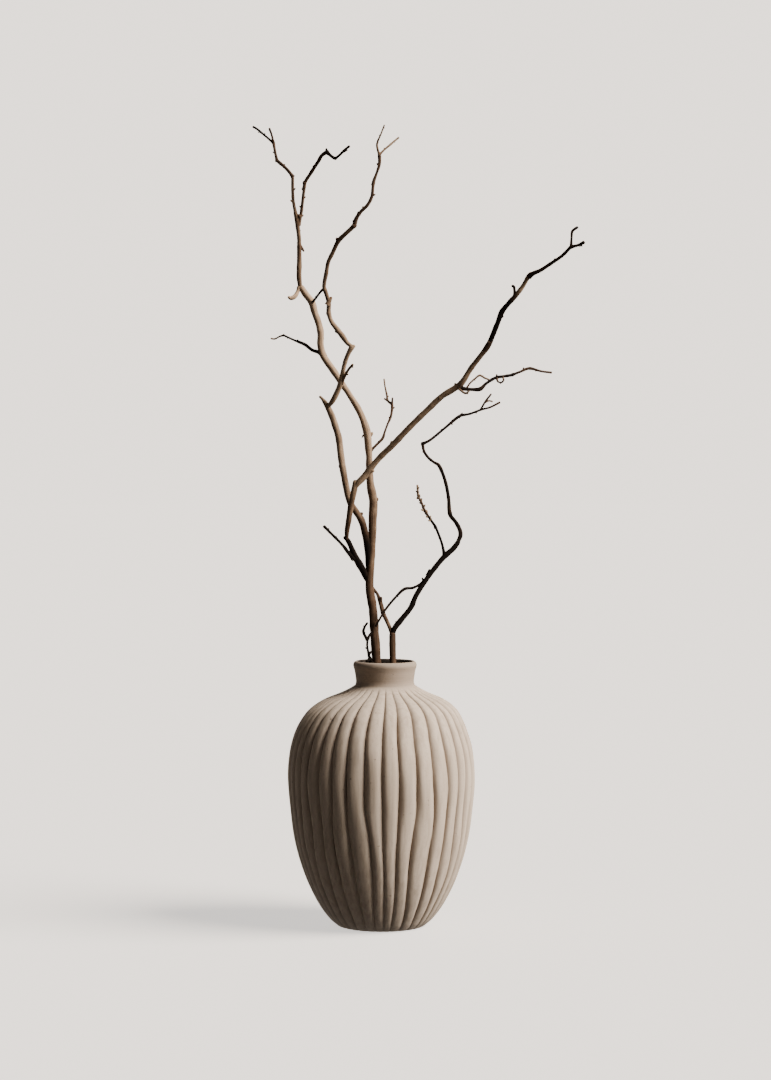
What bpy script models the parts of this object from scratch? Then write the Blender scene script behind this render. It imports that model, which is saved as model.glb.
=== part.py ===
"""Crooked twigs standing in a carved clay vase.

The vase is one thrown and fired pot: a round belly on a small flat foot, narrow neck and rolled
lip, with upright ribs carved from the neck to the foot. Two cut branches stand on its floor and
lean on the back of the neck. Each branch grew as one piece, so it is one body with all its shoots.

+Z is up, +X is to the right and the front faces -Y. The origin is the middle of the vase's foot.
"""
import math
import random

import bpy
import bmesh
from mathutils import Vector

MM = 0.001
# Clearance between the cut ends of the stems and the vase's floor, in millimetres
GAP = 0.3

# Vase, in millimetres
VASE_HEIGHT = 280
FOOT_RADIUS = 47.5
BELLY_RADIUS = 100
BELLY_HEIGHT = 157
NECK_RADIUS = 30.9
NECK_HEIGHT = 258
LIP_RADIUS = 33.9
MOUTH_RADIUS = 28.6
THROAT_RADIUS = 26
FLOOR_THICKNESS = 8
# The neck was thrown slightly off the middle of the belly
NECK_OFFSET = 3.9
NECK_OFFSET_FROM = 200

# Outline of the rib crests from the foot to the top of the ribs, as (height, radius)
CREST_OUTLINE = [
    (0, FOOT_RADIUS), (7, 55.5), (24, 67.8), (50, 80.6), (84, 91.4), (118, 97), (BELLY_HEIGHT, BELLY_RADIUS),
    (186, 97.4), (208, 91), (224, 82.5), (232, 75), (239, 64), (246, 47.4), (251, 37.5), (254.5, 31.8)]
# Outline of the plain neck, the lip and the mouth, as (height, radius)
NECK_OUTLINE = [
    (NECK_HEIGHT, NECK_RADIUS), (264, 31.5), (271, 32.7), (275.5, LIP_RADIUS), (278.6, 33.1),
    (VASE_HEIGHT, 31.2), (279.7, 29.8), (277.5, MOUTH_RADIUS)]
# Outline of the hollow, from the mouth down to the floor, as (height, radius)
HOLLOW_OUTLINE = [
    (269, 27), (NECK_HEIGHT, THROAT_RADIUS), (253, 27.5), (248, 32), (241, 42), (233, 55), (223, 68),
    (205, 81), (180, 87.5), (150, 90), (110, 86.5), (70, 77.5), (40, 65), (20, 52), (11, 43),
    (FLOOR_THICKNESS, 36)]

# Ribs: angles of the grooves seen from the front, in degrees from -Y towards +X
FRONT_GROOVES = [-75, -67, -59.5, -51.5, -41, -32, -22, -10.5, 1, 11.5, 22.5, 34.5, 45.5, 55.5, 64.5, 75]
BACK_GROOVE_COUNT = 18
GROOVE_JITTER = 1.1
GROOVE_WAVE = 0.8
GROOVE_WAVE_LENGTH = 130
RIB_DEPTH_SHARE = 0.215
RIB_FADE_HEIGHT = 254
RIB_FADE_LENGTH = 9
RIB_FOOT_SHARE = 0.6
RIB_FOOT_LENGTH = 18
# Where the points of one rib lie, as shares of its width, and how its face is rounded
RIB_STATIONS = [0, 0.17, 0.5, 0.83]
RIB_ROUNDING = 2.3
CREST_ROWS = 21
CURVE_STEPS = 40
JITTER_SEED = 7
WAVE_SEED = 11
VASE_SHARP_ANGLE = 40

# The eye that the routes below are drawn for stands in front of the vase, in millimetres
EYE = Vector((5, -2560, 485))

# Route of each twig from its root to its tip, as (across, up, depth behind the vase's axis,
# thickness) in millimetres. Across and up are read on an upright sheet through the axis.
MAIN_TWIGS = {
    "leader": [
        (-4.5, 279.5, 20.4, 9.3), (-6, 301.5, 25, 9.1), (-8.5, 335.5, 31, 8.8), (-12, 360, 35, 8.4),
        (-10, 392.5, 37, 7.5), (-9, 417, 37, 7.8), (-8.5, 434, 36, 8.3), (-8, 451, 36, 8.8),
        (-10.7, 466, 36, 8), (-12, 482.5, 36, 6.8), (-12.5, 499, 37, 6.4), (-13.4, 510, 38, 7.2),
        (-14.4, 522.5, 40, 8), (-18.3, 536, 42, 6.8), (-24.5, 549.5, 46, 6.4), (-33.2, 563.5, 50, 5.7),
        (-43.2, 578.5, 54, 6), (-51.1, 590.5, 57, 6.6), (-60.5, 604, 61, 6.7), (-64.3, 616.5, 62, 6.6),
        (-64.2, 629.5, 63, 6.5), (-66.6, 641, 64, 6.5), (-70.5, 652, 64, 6.6), (-73.7, 662.5, 63, 7),
        (-80.8, 672, 61, 6.4), (-86, 680, 60, 5.9)],
    "leader_top": [
        (-86, 678.5, 60, 5.3), (-87.2, 690, 59, 5), (-86.9, 704, 58, 4.8), (-87, 718, 57, 4.3),
        (-87.2, 731, 55, 4), (-88.6, 742.5, 54, 4.2), (-90, 752, 52, 3.9), (-91.5, 760.5, 50, 3.2),
        (-93.5, 772, 48, 2.9), (-94, 784, 47, 2.8), (-94, 796.5, 46, 2.9)],
    "leader_tip": [
        (-93.5, 796, 46, 3.2), (-98.5, 802.5, 47, 3), (-104, 808, 48, 2.9), (-110.5, 813.5, 50, 3.2)],
    "tip_a": [
        (-110.5, 812.5, 50, 2.9), (-112.5, 822, 51, 2.4), (-114.5, 833, 53, 2.8)],
    "tip_a_left": [
        (-114, 832, 53, 2.5), (-119.7, 837, 56, 2), (-126.2, 842.5, 60, 1.8), (-132.2, 847.5, 63, 1.9),
        (-136.7, 850, 65, 2)],
    "tip_a_up": [
        (-114.5, 833, 53, 2), (-116.5, 841.5, 50, 1.7), (-119, 848.5, 47, 1.8)],
    "second_top": [
        (-87.8, 744.5, 54, 3.5), (-85.2, 756, 52, 3), (-83.6, 768, 48, 2.8), (-82, 782, 44, 2.9),
        (-80.5, 791, 41, 3.2), (-75.5, 799, 38, 3.1), (-70.5, 807, 35, 3.3), (-66.5, 813, 31, 3.2),
        (-63, 819, 28, 3.4), (-57.5, 823, 24, 4.1)],
    "second_hook": [
        (-58, 823, 24, 3.6), (-53.5, 819, 21, 2.8), (-48.5, 815.5, 18, 2.9)],
    "second_end": [
        (-49, 815.5, 18, 2.3), (-44, 819.5, 15, 2.2), (-39, 824.5, 12, 2.4), (-33, 829.5, 9, 1.8)],
    "fork": [
        (-12.6, 368, 37, 5.6), (-13.1, 385, 36, 6), (-14.7, 403, 34, 6.2), (-17, 417, 31, 6.6),
        (-20.6, 430, 28, 6.8), (-26.7, 439.5, 25, 6.5), (-33, 450, 22, 6.4), (-37, 466, 21, 6.6),
        (-40.5, 485.5, 21, 6.8),
        (-42.5, 499, 22, 6.6), (-45, 518.5, 23, 6.6), (-49, 532, 22, 6.4), (-54, 545.5, 19, 6.4),
        (-58.5, 554, 17, 4.9), (-62, 559, 17, 2.8), (-65.5, 562.5, 18, 2.1)],
    "fork_second": [
        (-56, 551.5, 16, 5.1), (-51, 558, 12, 5.3), (-46.2, 567.5, 8, 5.4), (-42.7, 577, 4, 5.1),
        (-40.6, 587.5, 0, 4.5), (-38, 599, -4, 4.2), (-34.5, 608, -8, 4.3), (-31, 614, -10, 4.6),
        (-27.5, 616.5, -11, 2.8)],
    "fork_third": [
        (-30.3, 615, -10, 4.9), (-35.6, 619, -9, 4.4), (-40.5, 626, -9, 5.1), (-45.9, 633, -8, 5.1),
        (-52.5, 642, -8, 4.4), (-55.5, 651.5, -9, 4.4), (-55.5, 662, -11, 4.4), (-58, 671, -14, 3.9),
        (-60.5, 679.5, -16, 3.9), (-58, 694.5, -20, 3.8), (-56, 705.5, -23, 3.8),
        (-51.5, 715, -26, 3.8), (-45.1, 728, -31, 4.3), (-37.1, 736, -35, 4.1), (-28.7, 744.5, -38, 4.3),
        (-25.8, 752.5, -40, 3.8), (-21.4, 759, -42, 3.3), (-14, 766.5, -45, 3.1), (-9.5, 775.5, -46, 3),
        (-8.5, 784.5, -47, 2.8), (-7.5, 791.5, -47, 3.2), (-4.5, 800, -48, 2.4), (-1.5, 810, -48, 2.9),
        (-1.5, 820, -48, 3.2)],
    "fork_tip_left": [
        (-1.5, 819, -48, 2.3), (-4, 831, -50, 1.8), (0, 841.5, -54, 1.2), (4, 852, -58, 1.1)],
    "fork_tip_right": [
        (-1.5, 820, -48, 2.1), (4, 825.5, -45, 1.6), (10, 830.5, -42, 1.8), (14.5, 834.5, -40, 1.5),
        (19.5, 838.5, -38, 1.6)],
    "cross_shoot": [
        (-42, 575.5, 4, 2.9), (-39, 582, 0, 2.5), (-35, 590, -5, 2.3), (-29.5, 596.5, -11, 2.1)],
    "bough_low": [
        (-13, 363.5, 37, 6.2), (-18, 374.5, 33, 6.9), (-23.5, 384.5, 27, 6.8), (-28.5, 393.5, 20, 6.1),
        (-32, 402, 14, 5), (-35.5, 409, 9, 4.8), (-39.5, 412.5, 7, 2.9)],
    "bough_mid": [
        (-36.5, 410, 8, 5.1), (-36, 419, 5, 5.1), (-34.5, 428.5, 2, 5.3), (-32.5, 441.5, 0, 5.7),
        (-30, 454.5, -3, 5.7), (-28, 464.5, -4, 6), (-27, 473, -5, 3.7)],
    "bough": [
        (-28, 464.5, -4, 6.3), (-24, 470, -5, 6.8), (-18.6, 475.7, -6, 6.8), (-11.8, 484.1, -8, 6.5),
        (-1, 497, -12, 5.6), (13, 510.5, -18, 6.1), (32.5, 531, -26, 5.7), (50, 548, -32, 5.7),
        (65.5, 562.5, -37, 5.8), (78.5, 570.5, -41, 6), (86.2, 576.5, -44, 5.7), (96.2, 592, -48, 5.1),
        (106.1, 605, -53, 5), (114.6, 616.5, -57, 5.4), (120, 629, -61, 5), (124.6, 640.5, -65, 4.9),
        (129, 652, -69, 5.4), (136, 661, -73, 4.8), (144.2, 670, -77, 4.7), (151.7, 680, -80, 4),
        (158, 691, -84, 3.9), (161, 694.5, -85, 2.4)],
    "bough_top": [
        (157.5, 689.5, -84, 4.5), (163, 693.5, -86, 4.2), (170, 696.5, -88, 3.6),
        (180.8, 703.5, -91, 3.3), (193.8, 712.5, -95, 3), (203, 722, -99, 3.1)],
    "bough_tip_right": [
        (202.5, 721.5, -99, 3.1), (210.5, 723.5, -102, 2.6), (217.5, 727, -105, 3.1)],
    "bough_tip_up": [
        (203, 721.5, -99, 2.5), (203.5, 731.5, -97, 2.1), (204.5, 738.5, -95, 2.5),
        (210.5, 743, -93, 2.1)],
    "bough_spur": [
        (143, 669, -77, 2.9), (142.5, 676.5, -76, 2.3), (142, 679, -76, 2.5), (139.5, 680.5, -75, 2.1)],
    "bough_side": [
        (82, 573, -42, 4.6), (88, 570.5, -40, 3.9), (97.5, 569.5, -36, 3.1), (106, 570, -32, 3.9),
        (112.5, 576, -28, 2.7), (122.5, 582, -22, 2.9), (131, 583.5, -18, 2.5), (140.5, 585, -14, 2.5)],
    "bough_side_end": [
        (140, 585, -14, 2.5), (149, 588.5, -9, 2.2), (158.5, 592, -4, 2.5), (171, 589, 1, 1.9),
        (182.5, 587.5, 6, 1.9)],
    "curl_up": [
        (91.5, 570.5, -38, 1.7), (95, 576, -37, 1.5), (100.5, 581, -36, 1.5), (105.5, 584.5, -35, 1.8),
        (110.5, 582, -32, 1.5), (115.5, 580, -29, 1.5)],
    "curl_low": [
        (82, 571.5, -43, 1.9), (86, 568, -44, 1.8), (90.5, 565.5, -46, 2), (94.5, 568, -47, 1.5)],
    "curl_ring": [
        (123.5, 582, -22, 1.6), (125, 578, -24, 1.5), (128.5, 577, -26, 1.5), (131, 579.5, -27, 1.5),
        (130, 583, -26, 1.3)],
    "left_spur": [
        (-29, 389, 21, 4.1), (-35, 396, 13, 3.5), (-39.5, 402, 8, 2.9), (-45, 408, 4, 2.6),
        (-50, 413, 0, 2.5), (-56, 419, -5, 2.6), (-61, 424, -10, 2.6)],
    "left_shoot": [
        (-62, 606.5, 61, 4), (-67, 609.5, 63, 3.6), (-73, 611.5, 66, 2.9), (-81, 617.5, 71, 3.2),
        (-92, 622, 77, 1.8), (-104, 627.5, 84, 1.7)],
    "left_shoot_end": [
        (-103, 627.5, 84, 1.8), (-108, 626, 87, 1.3), (-113, 623.5, 89, 1.3), (-117.5, 624, 91, 1.2)],
    "bridge": [
        (-74, 661, 63, 2.6), (-70.5, 665.5, 56, 2.2), (-66, 671.5, 48, 2), (-62, 676.5, 40, 2)],
    "right_shoot": [
        (-12, 502.5, 37, 2.8), (-7.5, 507.5, 38, 2.4), (-3, 512, 40, 2.3), (2, 517.5, 42, 2.5),
        (4.5, 525, 45, 1.8), (7.5, 533, 48, 1.8), (10.5, 540, 51, 2.1), (12, 548.5, 54, 2.3),
        (12, 554.5, 56, 2.5)],
    "right_shoot_a": [
        (12, 554, 56, 2.1), (7.5, 557.5, 57, 2), (6.5, 563.5, 58, 1.7), (4.5, 573, 60, 1.3),
        (3.5, 581, 62, 1.3)],
    "right_shoot_b": [
        (8, 557, 57, 1.6), (3.5, 560, 55, 1.5)],
    "right_shoot_c": [
        (12, 553.5, 56, 1.8), (12.5, 561, 54, 1.4)],
    "pale_curl": [
        (-87, 679, 60, 3), (-89, 673, 58, 3.6), (-92, 668.5, 55, 4.2), (-96, 667, 53, 3.7),
        (-99, 668.5, 51, 2)],
    "rim_shoot": [
        (-6.5, 272, 20.5, 3.8), (-10.5, 280, 15, 3.1), (-12.5, 285, 11, 2.5), (-13.5, 290, 8, 2.2),
        (-14.5, 296.5, 6, 1.9), (-14, 303.5, 5, 2.1)],
    "rim_shoot_left": [
        (-14.5, 302.5, 5, 2.4), (-18.5, 311, 2, 2.6), (-17, 316.5, 0, 2), (-14, 321, -2, 1.9)],
    "rim_shoot_right": [
        (-14, 303, 5, 2.3), (-12, 307.5, 7, 2.1), (-9.5, 310.5, 9, 1.8)],
    "rim_shoot_link": [
        (-13, 287, 10, 2.2), (-10, 290, 14, 2.2)],
    "rim_shoot_low": [
        (-11, 283, 13, 2.6), (-15.5, 279, 8, 2.4)],
}
SIDE_TWIGS = {
    "side_stem": [
        (13, 279.5, 21, 6.6), (12.5, 296.5, 25, 6.4), (12.5, 310.5, 28, 6.6)],
    "side_right": [
        (12.5, 308, 28, 6.8), (14.5, 314.5, 28, 6.1), (21, 323, 30, 5.3), (32, 337, 34, 5),
        (37.8, 350, 37, 5), (48.3, 366.5, 42, 4.8), (59, 381, 46, 4.8), (68.5, 392, 50, 5.3),
        (77.5, 400, 53, 5.3), (83.5, 408, 56, 4.5)],
    "side_elbow": [
        (82, 406.5, 55, 5.2), (85, 414, 58, 4.6), (84, 420.5, 60, 4), (80, 428, 63, 3.7),
        (74, 436, 66, 4), (72.3, 453, 71, 3.3), (69.7, 468, 76, 3.2), (65.6, 481, 80, 3.1),
        (61.5, 489, 82, 3.3), (56.5, 492, 83, 2.4), (50.5, 497, 84, 2.5), (46, 504, 84, 2.5),
        (44.5, 512.5, 85, 3.1)],
    "side_top": [
        (44.5, 511.5, 85, 2.7), (52.5, 515.5, 88, 2.3), (68.5, 528.5, 94, 2.2), (84, 541, 100, 2.8),
        (95, 543.5, 103, 1.9), (107, 548, 106, 1.9)],
    "side_tip_right": [
        (106.5, 548, 106, 1.7), (116.5, 550.5, 108, 1.7), (127.5, 556, 110, 1.8)],
    "side_tip_up": [
        (106.5, 548, 106, 1.5), (111.5, 556.5, 104, 1.8), (118, 565, 101, 1.5)],
    "side_tip_arc": [
        (111.5, 556, 104, 1.3), (115.5, 557.5, 106, 1.3), (119.5, 556.5, 108, 1.3)],
    "bud_twig": [
        (68, 391.5, 50, 3.4), (65.5, 404, 46, 2.3), (61.5, 415.5, 42, 2.2), (58, 423.5, 40, 2.6),
        (52.5, 431.5, 36, 2.2), (46.5, 441, 33, 2.6), (43, 450, 31, 2), (40, 455.5, 29, 2.2),
        (39.5, 461.5, 28, 1.8), (39, 468, 27, 1.8)],
    "side_loop": [
        (46, 364, 41, 3.7), (41.5, 361.5, 40, 2.5), (34.5, 358, 37, 2.2), (25, 356.5, 33, 2.8),
        (15, 347, 29, 2.1), (5.5, 335.5, 24, 2.1), (0.5, 327.5, 21.5, 1.8), (-5.5, 316.5, 19, 1.8)],
    "side_left": [
        (12, 309, 28, 5.8), (9.5, 315.5, 30, 4.3), (6, 323.5, 33, 3.9), (2.5, 331, 37, 4.2),
        (0, 341, 42, 4.2), (-3.5, 351, 46, 2.7), (-8, 357, 48, 2.6), (-13, 364, 50, 2.1)],
}
# The points follow the lit face of the bark. A twig's middle lies this far to their right, which is
# to the left where the number is below zero, and its shaded edge makes it this much thicker
SHADE_SHIFT = -0.55
SHADE_THICKNESS = 0.6
# Cut ends that stand on the vase's floor, as (x, y, thickness), and the hidden stretch of stem from
# there to the throat, as (x, y, height, thickness)
MAIN_CUT_END = (0.5, -11, 10.2)
MAIN_HIDDEN_STEM = [(-2, 3.5, 130, 10), (-4.3, 18.3, 256, 9.8)]
SIDE_CUT_END = (15.5, -12.5, 7)
SIDE_HIDDEN_STEM = [(14.3, 3.5, 130, 6.8), (13, 19.3, 256, 6.6)]

# Knots and short dead stubs, as (point on the twig, tip, depth, thickness)
MAIN_KNOTS = [
    ((-4.5, 452), (-3, 454), 36, 3.6), ((-10.5, 521.5), (-8.5, 524), 40, 3.6),
    ((-18.5, 520), (-19.5, 521), 40, 3.2), ((-63, 622.5), (-61, 625.5), 63, 2.3),
    ((-42.5, 487.5), (-45, 488.5), 21, 3), ((-22.5, 435.5), (-19, 438), 27, 3.6),
    ((12.5, 511), (11, 514.5), -18, 3.2), ((-10, 484), (-7, 481.5), -9, 2.8),
    ((63, 561), (62, 563.5), -37, 2.8), ((75, 569), (73.5, 571.5), -40, 3),
    ((80.5, 573), (79, 576.5), -42, 2.1), ((115, 618.5), (117, 615.5), -58, 3.2),
    ((116, 620), (119.5, 620), -59, 2.6), ((121.5, 630.5), (123.5, 630), -62, 2.6),
    ((128, 648), (131, 647), -68, 3), ((-56.5, 651.5), (-58, 652.5), -9, 2.8),
    ((-55.5, 662.5), (-52.5, 668.5), -12, 3), ((-47.5, 631.5), (-49, 631), -8, 2.6),
    ((-40.5, 626.5), (-39, 628.5), -9, 2.6), ((-56.5, 705), (-58, 706), -23, 2.3),
    ((-45.5, 728), (-47.5, 731.5), -31, 2.6), ((-28, 744.5), (-25.5, 745.5), -38, 3.2),
    ((-28, 748), (-29.5, 750.5), -39, 2.3), ((-23.5, 756.5), (-24, 759.5), -41, 2.3),
    ((-7.5, 791), (-8.5, 791.5), -47, 2.1), ((-2, 809), (-1, 809), -48, 2.1),
    ((-81.5, 790), (-82.5, 792), 41, 2.3), ((-82.5, 785), (-83.5, 786), 43, 2.1),
    ((-70.5, 808), (-69, 806), 34, 2.3), ((-58, 823), (-58, 827), 24, 1.7),
    ((-108, 811), (-106, 812), 50, 2.1), ((-38.5, 824), (-36.5, 824.5), 12, 1.5),
    ((-93.5, 772), (-95, 772), 48, 1.9), ((-87.5, 738.5), (-85.5, 739.5), 55, 2.1),
    ((-87, 754.5), (-88.5, 756.5), 51, 1.9), ((-87, 692.5), (-89.5, 694), 59, 2.1),
    ((-60, 603.5), (-58, 596), 61, 2.1), ((-81.5, 618), (-81, 619.5), 71, 2.3),
    ((-38, 598.5), (-39.5, 600), -4, 2.1), ((-56.5, 420), (-55, 421.5), -5, 1.7),
    ((124, 582.5), (123.5, 586), -21, 1.3), ((140.5, 585), (141.5, 583.5), -14, 1.5),
    ((213, 724.5), (215, 722), -103, 1.3), ((11, 540.5), (9.5, 540.5), 51, 1.3),
    ((-86, 723.5), (-81.8, 716.5), 57, 2),
]
SIDE_KNOTS = [
    ((84, 541), (86.5, 544), 100, 1.5), ((74.5, 436), (72, 436.5), 66, 2.6),
    ((61.5, 488.5), (62, 490), 82, 1.9), ((44.5, 511.5), (43.5, 513.5), 85, 1.9),
    ((32, 337.5), (34, 336.5), 34, 2.8), ((51, 373), (52.5, 378), 43, 2.6),
    ((45.5, 365), (44, 369), 42, 1.5), ((18, 319.5), (17, 315), 30, 3.2),
    ((0, 342.5), (0.5, 348.5), 42, 2.1), ((1.5, 336.5), (-1, 338), 40, 1.9),
    ((46.5, 440.5), (45, 440), 33, 1.7), ((53, 431.5), (52, 429.5), 36, 1.5),
    ((58, 423), (57.5, 420.5), 40, 1.5), ((42.5, 451), (44, 453.5), 31, 1.5),
    ((40.5, 455.5), (38.5, 453), 29, 1.5), ((39.5, 460), (39, 458), 28, 1.4),
    ((39.5, 463), (40.5, 464.5), 28, 1.2), ((47, 439), (48.5, 440.5), 33, 1.4),
]
KNOT_TIP_SHARE = 0.55
# The thickness in millimetres down to which a twig has this many sides
SIDES_BY_THICKNESS = [(7.5, 8), (4.5, 7), (2.4, 6), (0, 5)]
KNOT_SIDES = 5
# A few flat sides take away from a round twig, so their corners stand out by this much
ROUND_SHARE = 1.05
TWIG_SHARP_ANGLE = 50

CLAY_COLOUR = (0.50, 0.42, 0.34)
CLAY_ROUGHNESS = 0.85
BARK_COLOUR = (0.16, 0.105, 0.07)
BARK_ROUGHNESS = 0.8


def clear_scene():
    for old in list(bpy.data.objects):
        bpy.data.objects.remove(old, do_unlink=True)


def material(name, colour, roughness):
    """A plain finish of one colour."""
    finish = bpy.data.materials.new(name)
    finish.use_nodes = True
    shader = finish.node_tree.nodes["Principled BSDF"]
    shader.inputs["Base Color"].default_value = (*colour, 1)
    shader.inputs["Roughness"].default_value = roughness
    shader.inputs["Metallic"].default_value = 0
    finish.diffuse_color = (*colour, 1)
    return finish


def new_object(name, mesh_data, finish):
    mesh = bpy.data.meshes.new(name)
    mesh_data.normal_update()
    mesh_data.to_mesh(mesh)
    mesh_data.free()
    mesh.materials.append(finish)
    piece = bpy.data.objects.new(name, mesh)
    bpy.context.scene.collection.objects.link(piece)
    return piece


def smooth_step(low, high, value):
    share = min(1, max(0, (value - low) / (high - low)))
    return share * share * (3 - 2 * share)


def curve_point(points, place):
    """A point on the smooth curve through the points; place counts from 0 to the last index."""
    index = min(int(place), len(points) - 2)
    share = place - index
    before = points[max(index - 1, 0)]
    start = points[index]
    end = points[index + 1]
    after = points[min(index + 2, len(points) - 1)]
    return [
        0.5 * (2 * b + (c - a) * share + (2 * a - 5 * b + 4 * c - d) * share ** 2
               + (3 * b - 3 * c + d - a) * share ** 3)
        for a, b, c, d in zip(before, start, end, after)]


def even_rows(outline, count):
    """Points at even steps of length along the smooth curve through an outline."""
    steps = CURVE_STEPS * (len(outline) - 1)
    fine = [curve_point(outline, (len(outline) - 1) * i / steps) for i in range(steps + 1)]
    travelled = [0]
    for a, b in zip(fine, fine[1:]):
        travelled.append(travelled[-1] + math.dist(a, b))
    rows = []
    for row in range(count):
        goal = travelled[-1] * row / (count - 1)
        nearest = min(range(len(fine)), key=lambda i: abs(travelled[i] - goal))
        rows.append(fine[nearest])
    return rows


def groove_angles():
    """Angles of all grooves round the vase; those at the back are evenly spaced with a little jitter."""
    draw = random.Random(JITTER_SEED)
    gap = (360 - (FRONT_GROOVES[-1] - FRONT_GROOVES[0])) / (BACK_GROOVE_COUNT + 1)
    back = [FRONT_GROOVES[-1] + gap * (i + 1) + draw.uniform(-1, 1) * GROOVE_JITTER
            for i in range(BACK_GROOVE_COUNT)]
    return FRONT_GROOVES + back


def groove_waves(count):
    """Phase of each groove's slow sideways wave, in turns."""
    draw = random.Random(WAVE_SEED)
    return [draw.random() for _ in range(count)]


def vase_centre(height):
    """How far the pot's middle lies to the right at this height."""
    return NECK_OFFSET * smooth_step(NECK_OFFSET_FROM, NECK_HEIGHT, height)


def rib_depth(height, radius, count):
    """How deep the grooves are below the rib crests."""
    width = 2 * math.pi * radius / count
    top_fade = smooth_step(0, RIB_FADE_LENGTH, RIB_FADE_HEIGHT - height)
    foot_fade = RIB_FOOT_SHARE + (1 - RIB_FOOT_SHARE) * smooth_step(0, RIB_FOOT_LENGTH, height)
    return RIB_DEPTH_SHARE * width * top_fade * foot_fade


def ring_point(angle, radius, height):
    turn = math.radians(angle)
    return Vector((vase_centre(height) + radius * math.sin(turn), -radius * math.cos(turn), height)) * MM


def ribbed_ring(height, radius, grooves, waves):
    """One ring of points round the ribs, with several points to each rib."""
    count = len(grooves)
    angles = [
        groove + GROOVE_WAVE * math.sin(2 * math.pi * (height / GROOVE_WAVE_LENGTH + wave))
        for groove, wave in zip(grooves, waves)]
    depth = rib_depth(height, radius, count)
    points = []
    for rib in range(count):
        start = angles[rib]
        end = angles[(rib + 1) % count] + (360 if rib == count - 1 else 0)
        for station in RIB_STATIONS:
            fullness = 1 - abs(2 * station - 1) ** RIB_ROUNDING
            angle = start + (end - start) * station
            points.append(ring_point(angle, radius - depth * (1 - fullness), height))
    return points


def plain_ring(height, radius, grooves):
    return [ring_point(angle, radius, height) for angle in grooves]


def join_rings(mesh, low, high):
    """Faces between two rings of equally many points."""
    count = len(low)
    for i in range(count):
        j = (i + 1) % count
        mesh.faces.new((low[i], low[j], high[j], high[i]))


def narrow_ring(mesh, many, few):
    """Faces from a ring with several points to a rib up to one with a single point to a rib."""
    per_rib = len(RIB_STATIONS)
    for rib, here in enumerate(few):
        after = few[(rib + 1) % len(few)]
        run = [many[(rib * per_rib + i) % len(many)] for i in range(per_rib + 1)]
        middle = per_rib // 2
        for i in range(middle):
            mesh.faces.new((run[i], run[i + 1], here))
        mesh.faces.new((run[middle], after, here))
        for i in range(middle, per_rib):
            mesh.faces.new((run[i], run[i + 1], after))


def build_vase(finish):
    """The hollow pot: ribs outside, smooth inside, open at the mouth."""
    mesh = bmesh.new()
    grooves = groove_angles()
    waves = groove_waves(len(grooves))
    crest_rings = [
        [mesh.verts.new(point) for point in ribbed_ring(height, radius, grooves, waves)]
        for height, radius in even_rows(CREST_OUTLINE, CREST_ROWS)]
    plain_rings = [
        [mesh.verts.new(point) for point in plain_ring(height, radius, grooves)]
        for height, radius in NECK_OUTLINE + HOLLOW_OUTLINE]
    mesh.faces.new(tuple(reversed(crest_rings[0])))
    for low, high in zip(crest_rings, crest_rings[1:]):
        join_rings(mesh, low, high)
    narrow_ring(mesh, crest_rings[-1], plain_rings[0])
    for low, high in zip(plain_rings, plain_rings[1:]):
        join_rings(mesh, low, high)
    mesh.faces.new(tuple(plain_rings[-1]))
    vase = new_object("vase", mesh, finish)
    vase.data.shade_smooth()
    vase.data.set_sharp_from_angle(angle=math.radians(VASE_SHARP_ANGLE))
    return vase


def along_sight(across, up, depth, thickness):
    """Moves a point of the drawn sheet along the line of sight to its depth."""
    on_sheet = Vector((across + SHADE_SHIFT, 0, up))
    stretch = 1 + depth / -EYE.y
    place = EYE + (on_sheet - EYE) * stretch
    return place, (thickness + SHADE_THICKNESS) * stretch


def drawn_route(points):
    return [along_sight(*point) for point in points]


def hidden_route(cut_end, points):
    """The stretch inside the vase; the slanted cut end stands just above the vase's floor."""
    x, y, thickness = cut_end
    lean = math.dist(points[0][:2], (x, y)) / points[0][2]
    foot = FLOOR_THICKNESS + GAP + thickness / 2 * ROUND_SHARE * lean
    route = [(Vector((x, y, foot)), thickness)]
    for x, y, height, thickness in points:
        route.append((Vector((x, y, height)), thickness))
    return route


def sides_for(thickness):
    return next(sides for least, sides in SIDES_BY_THICKNESS if thickness >= least)


def tube(route, sides):
    """A closed tube of changing thickness along a route of (place, thickness)."""
    mesh = bmesh.new()
    places = [place for place, _ in route]
    steps = [(b - a).normalized() for a, b in zip(places, places[1:])]
    side_way = steps[0].cross(Vector((0, 1, 0))).normalized()
    rings = []
    for i, (place, thickness) in enumerate(route):
        heading = (steps[max(i - 1, 0)] + steps[min(i, len(steps) - 1)]).normalized()
        side_way = (side_way - heading * side_way.dot(heading)).normalized()
        other_way = heading.cross(side_way)
        radius = thickness / 2 * ROUND_SHARE
        ring = []
        for k in range(sides):
            turn = 2 * math.pi * (k + 0.5) / sides
            offset = side_way * math.cos(turn) + other_way * math.sin(turn)
            ring.append(mesh.verts.new((place + offset * radius) * MM))
        rings.append(ring)
    mesh.faces.new(tuple(reversed(rings[0])))
    for low, high in zip(rings, rings[1:]):
        join_rings(mesh, low, high)
    mesh.faces.new(tuple(rings[-1]))
    return mesh


def knot_route(knot):
    (across, up), (tip_across, tip_up), depth, thickness = knot
    return drawn_route([
        (across, up, depth, thickness), (tip_across, tip_up, depth, thickness * KNOT_TIP_SHARE)])


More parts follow.
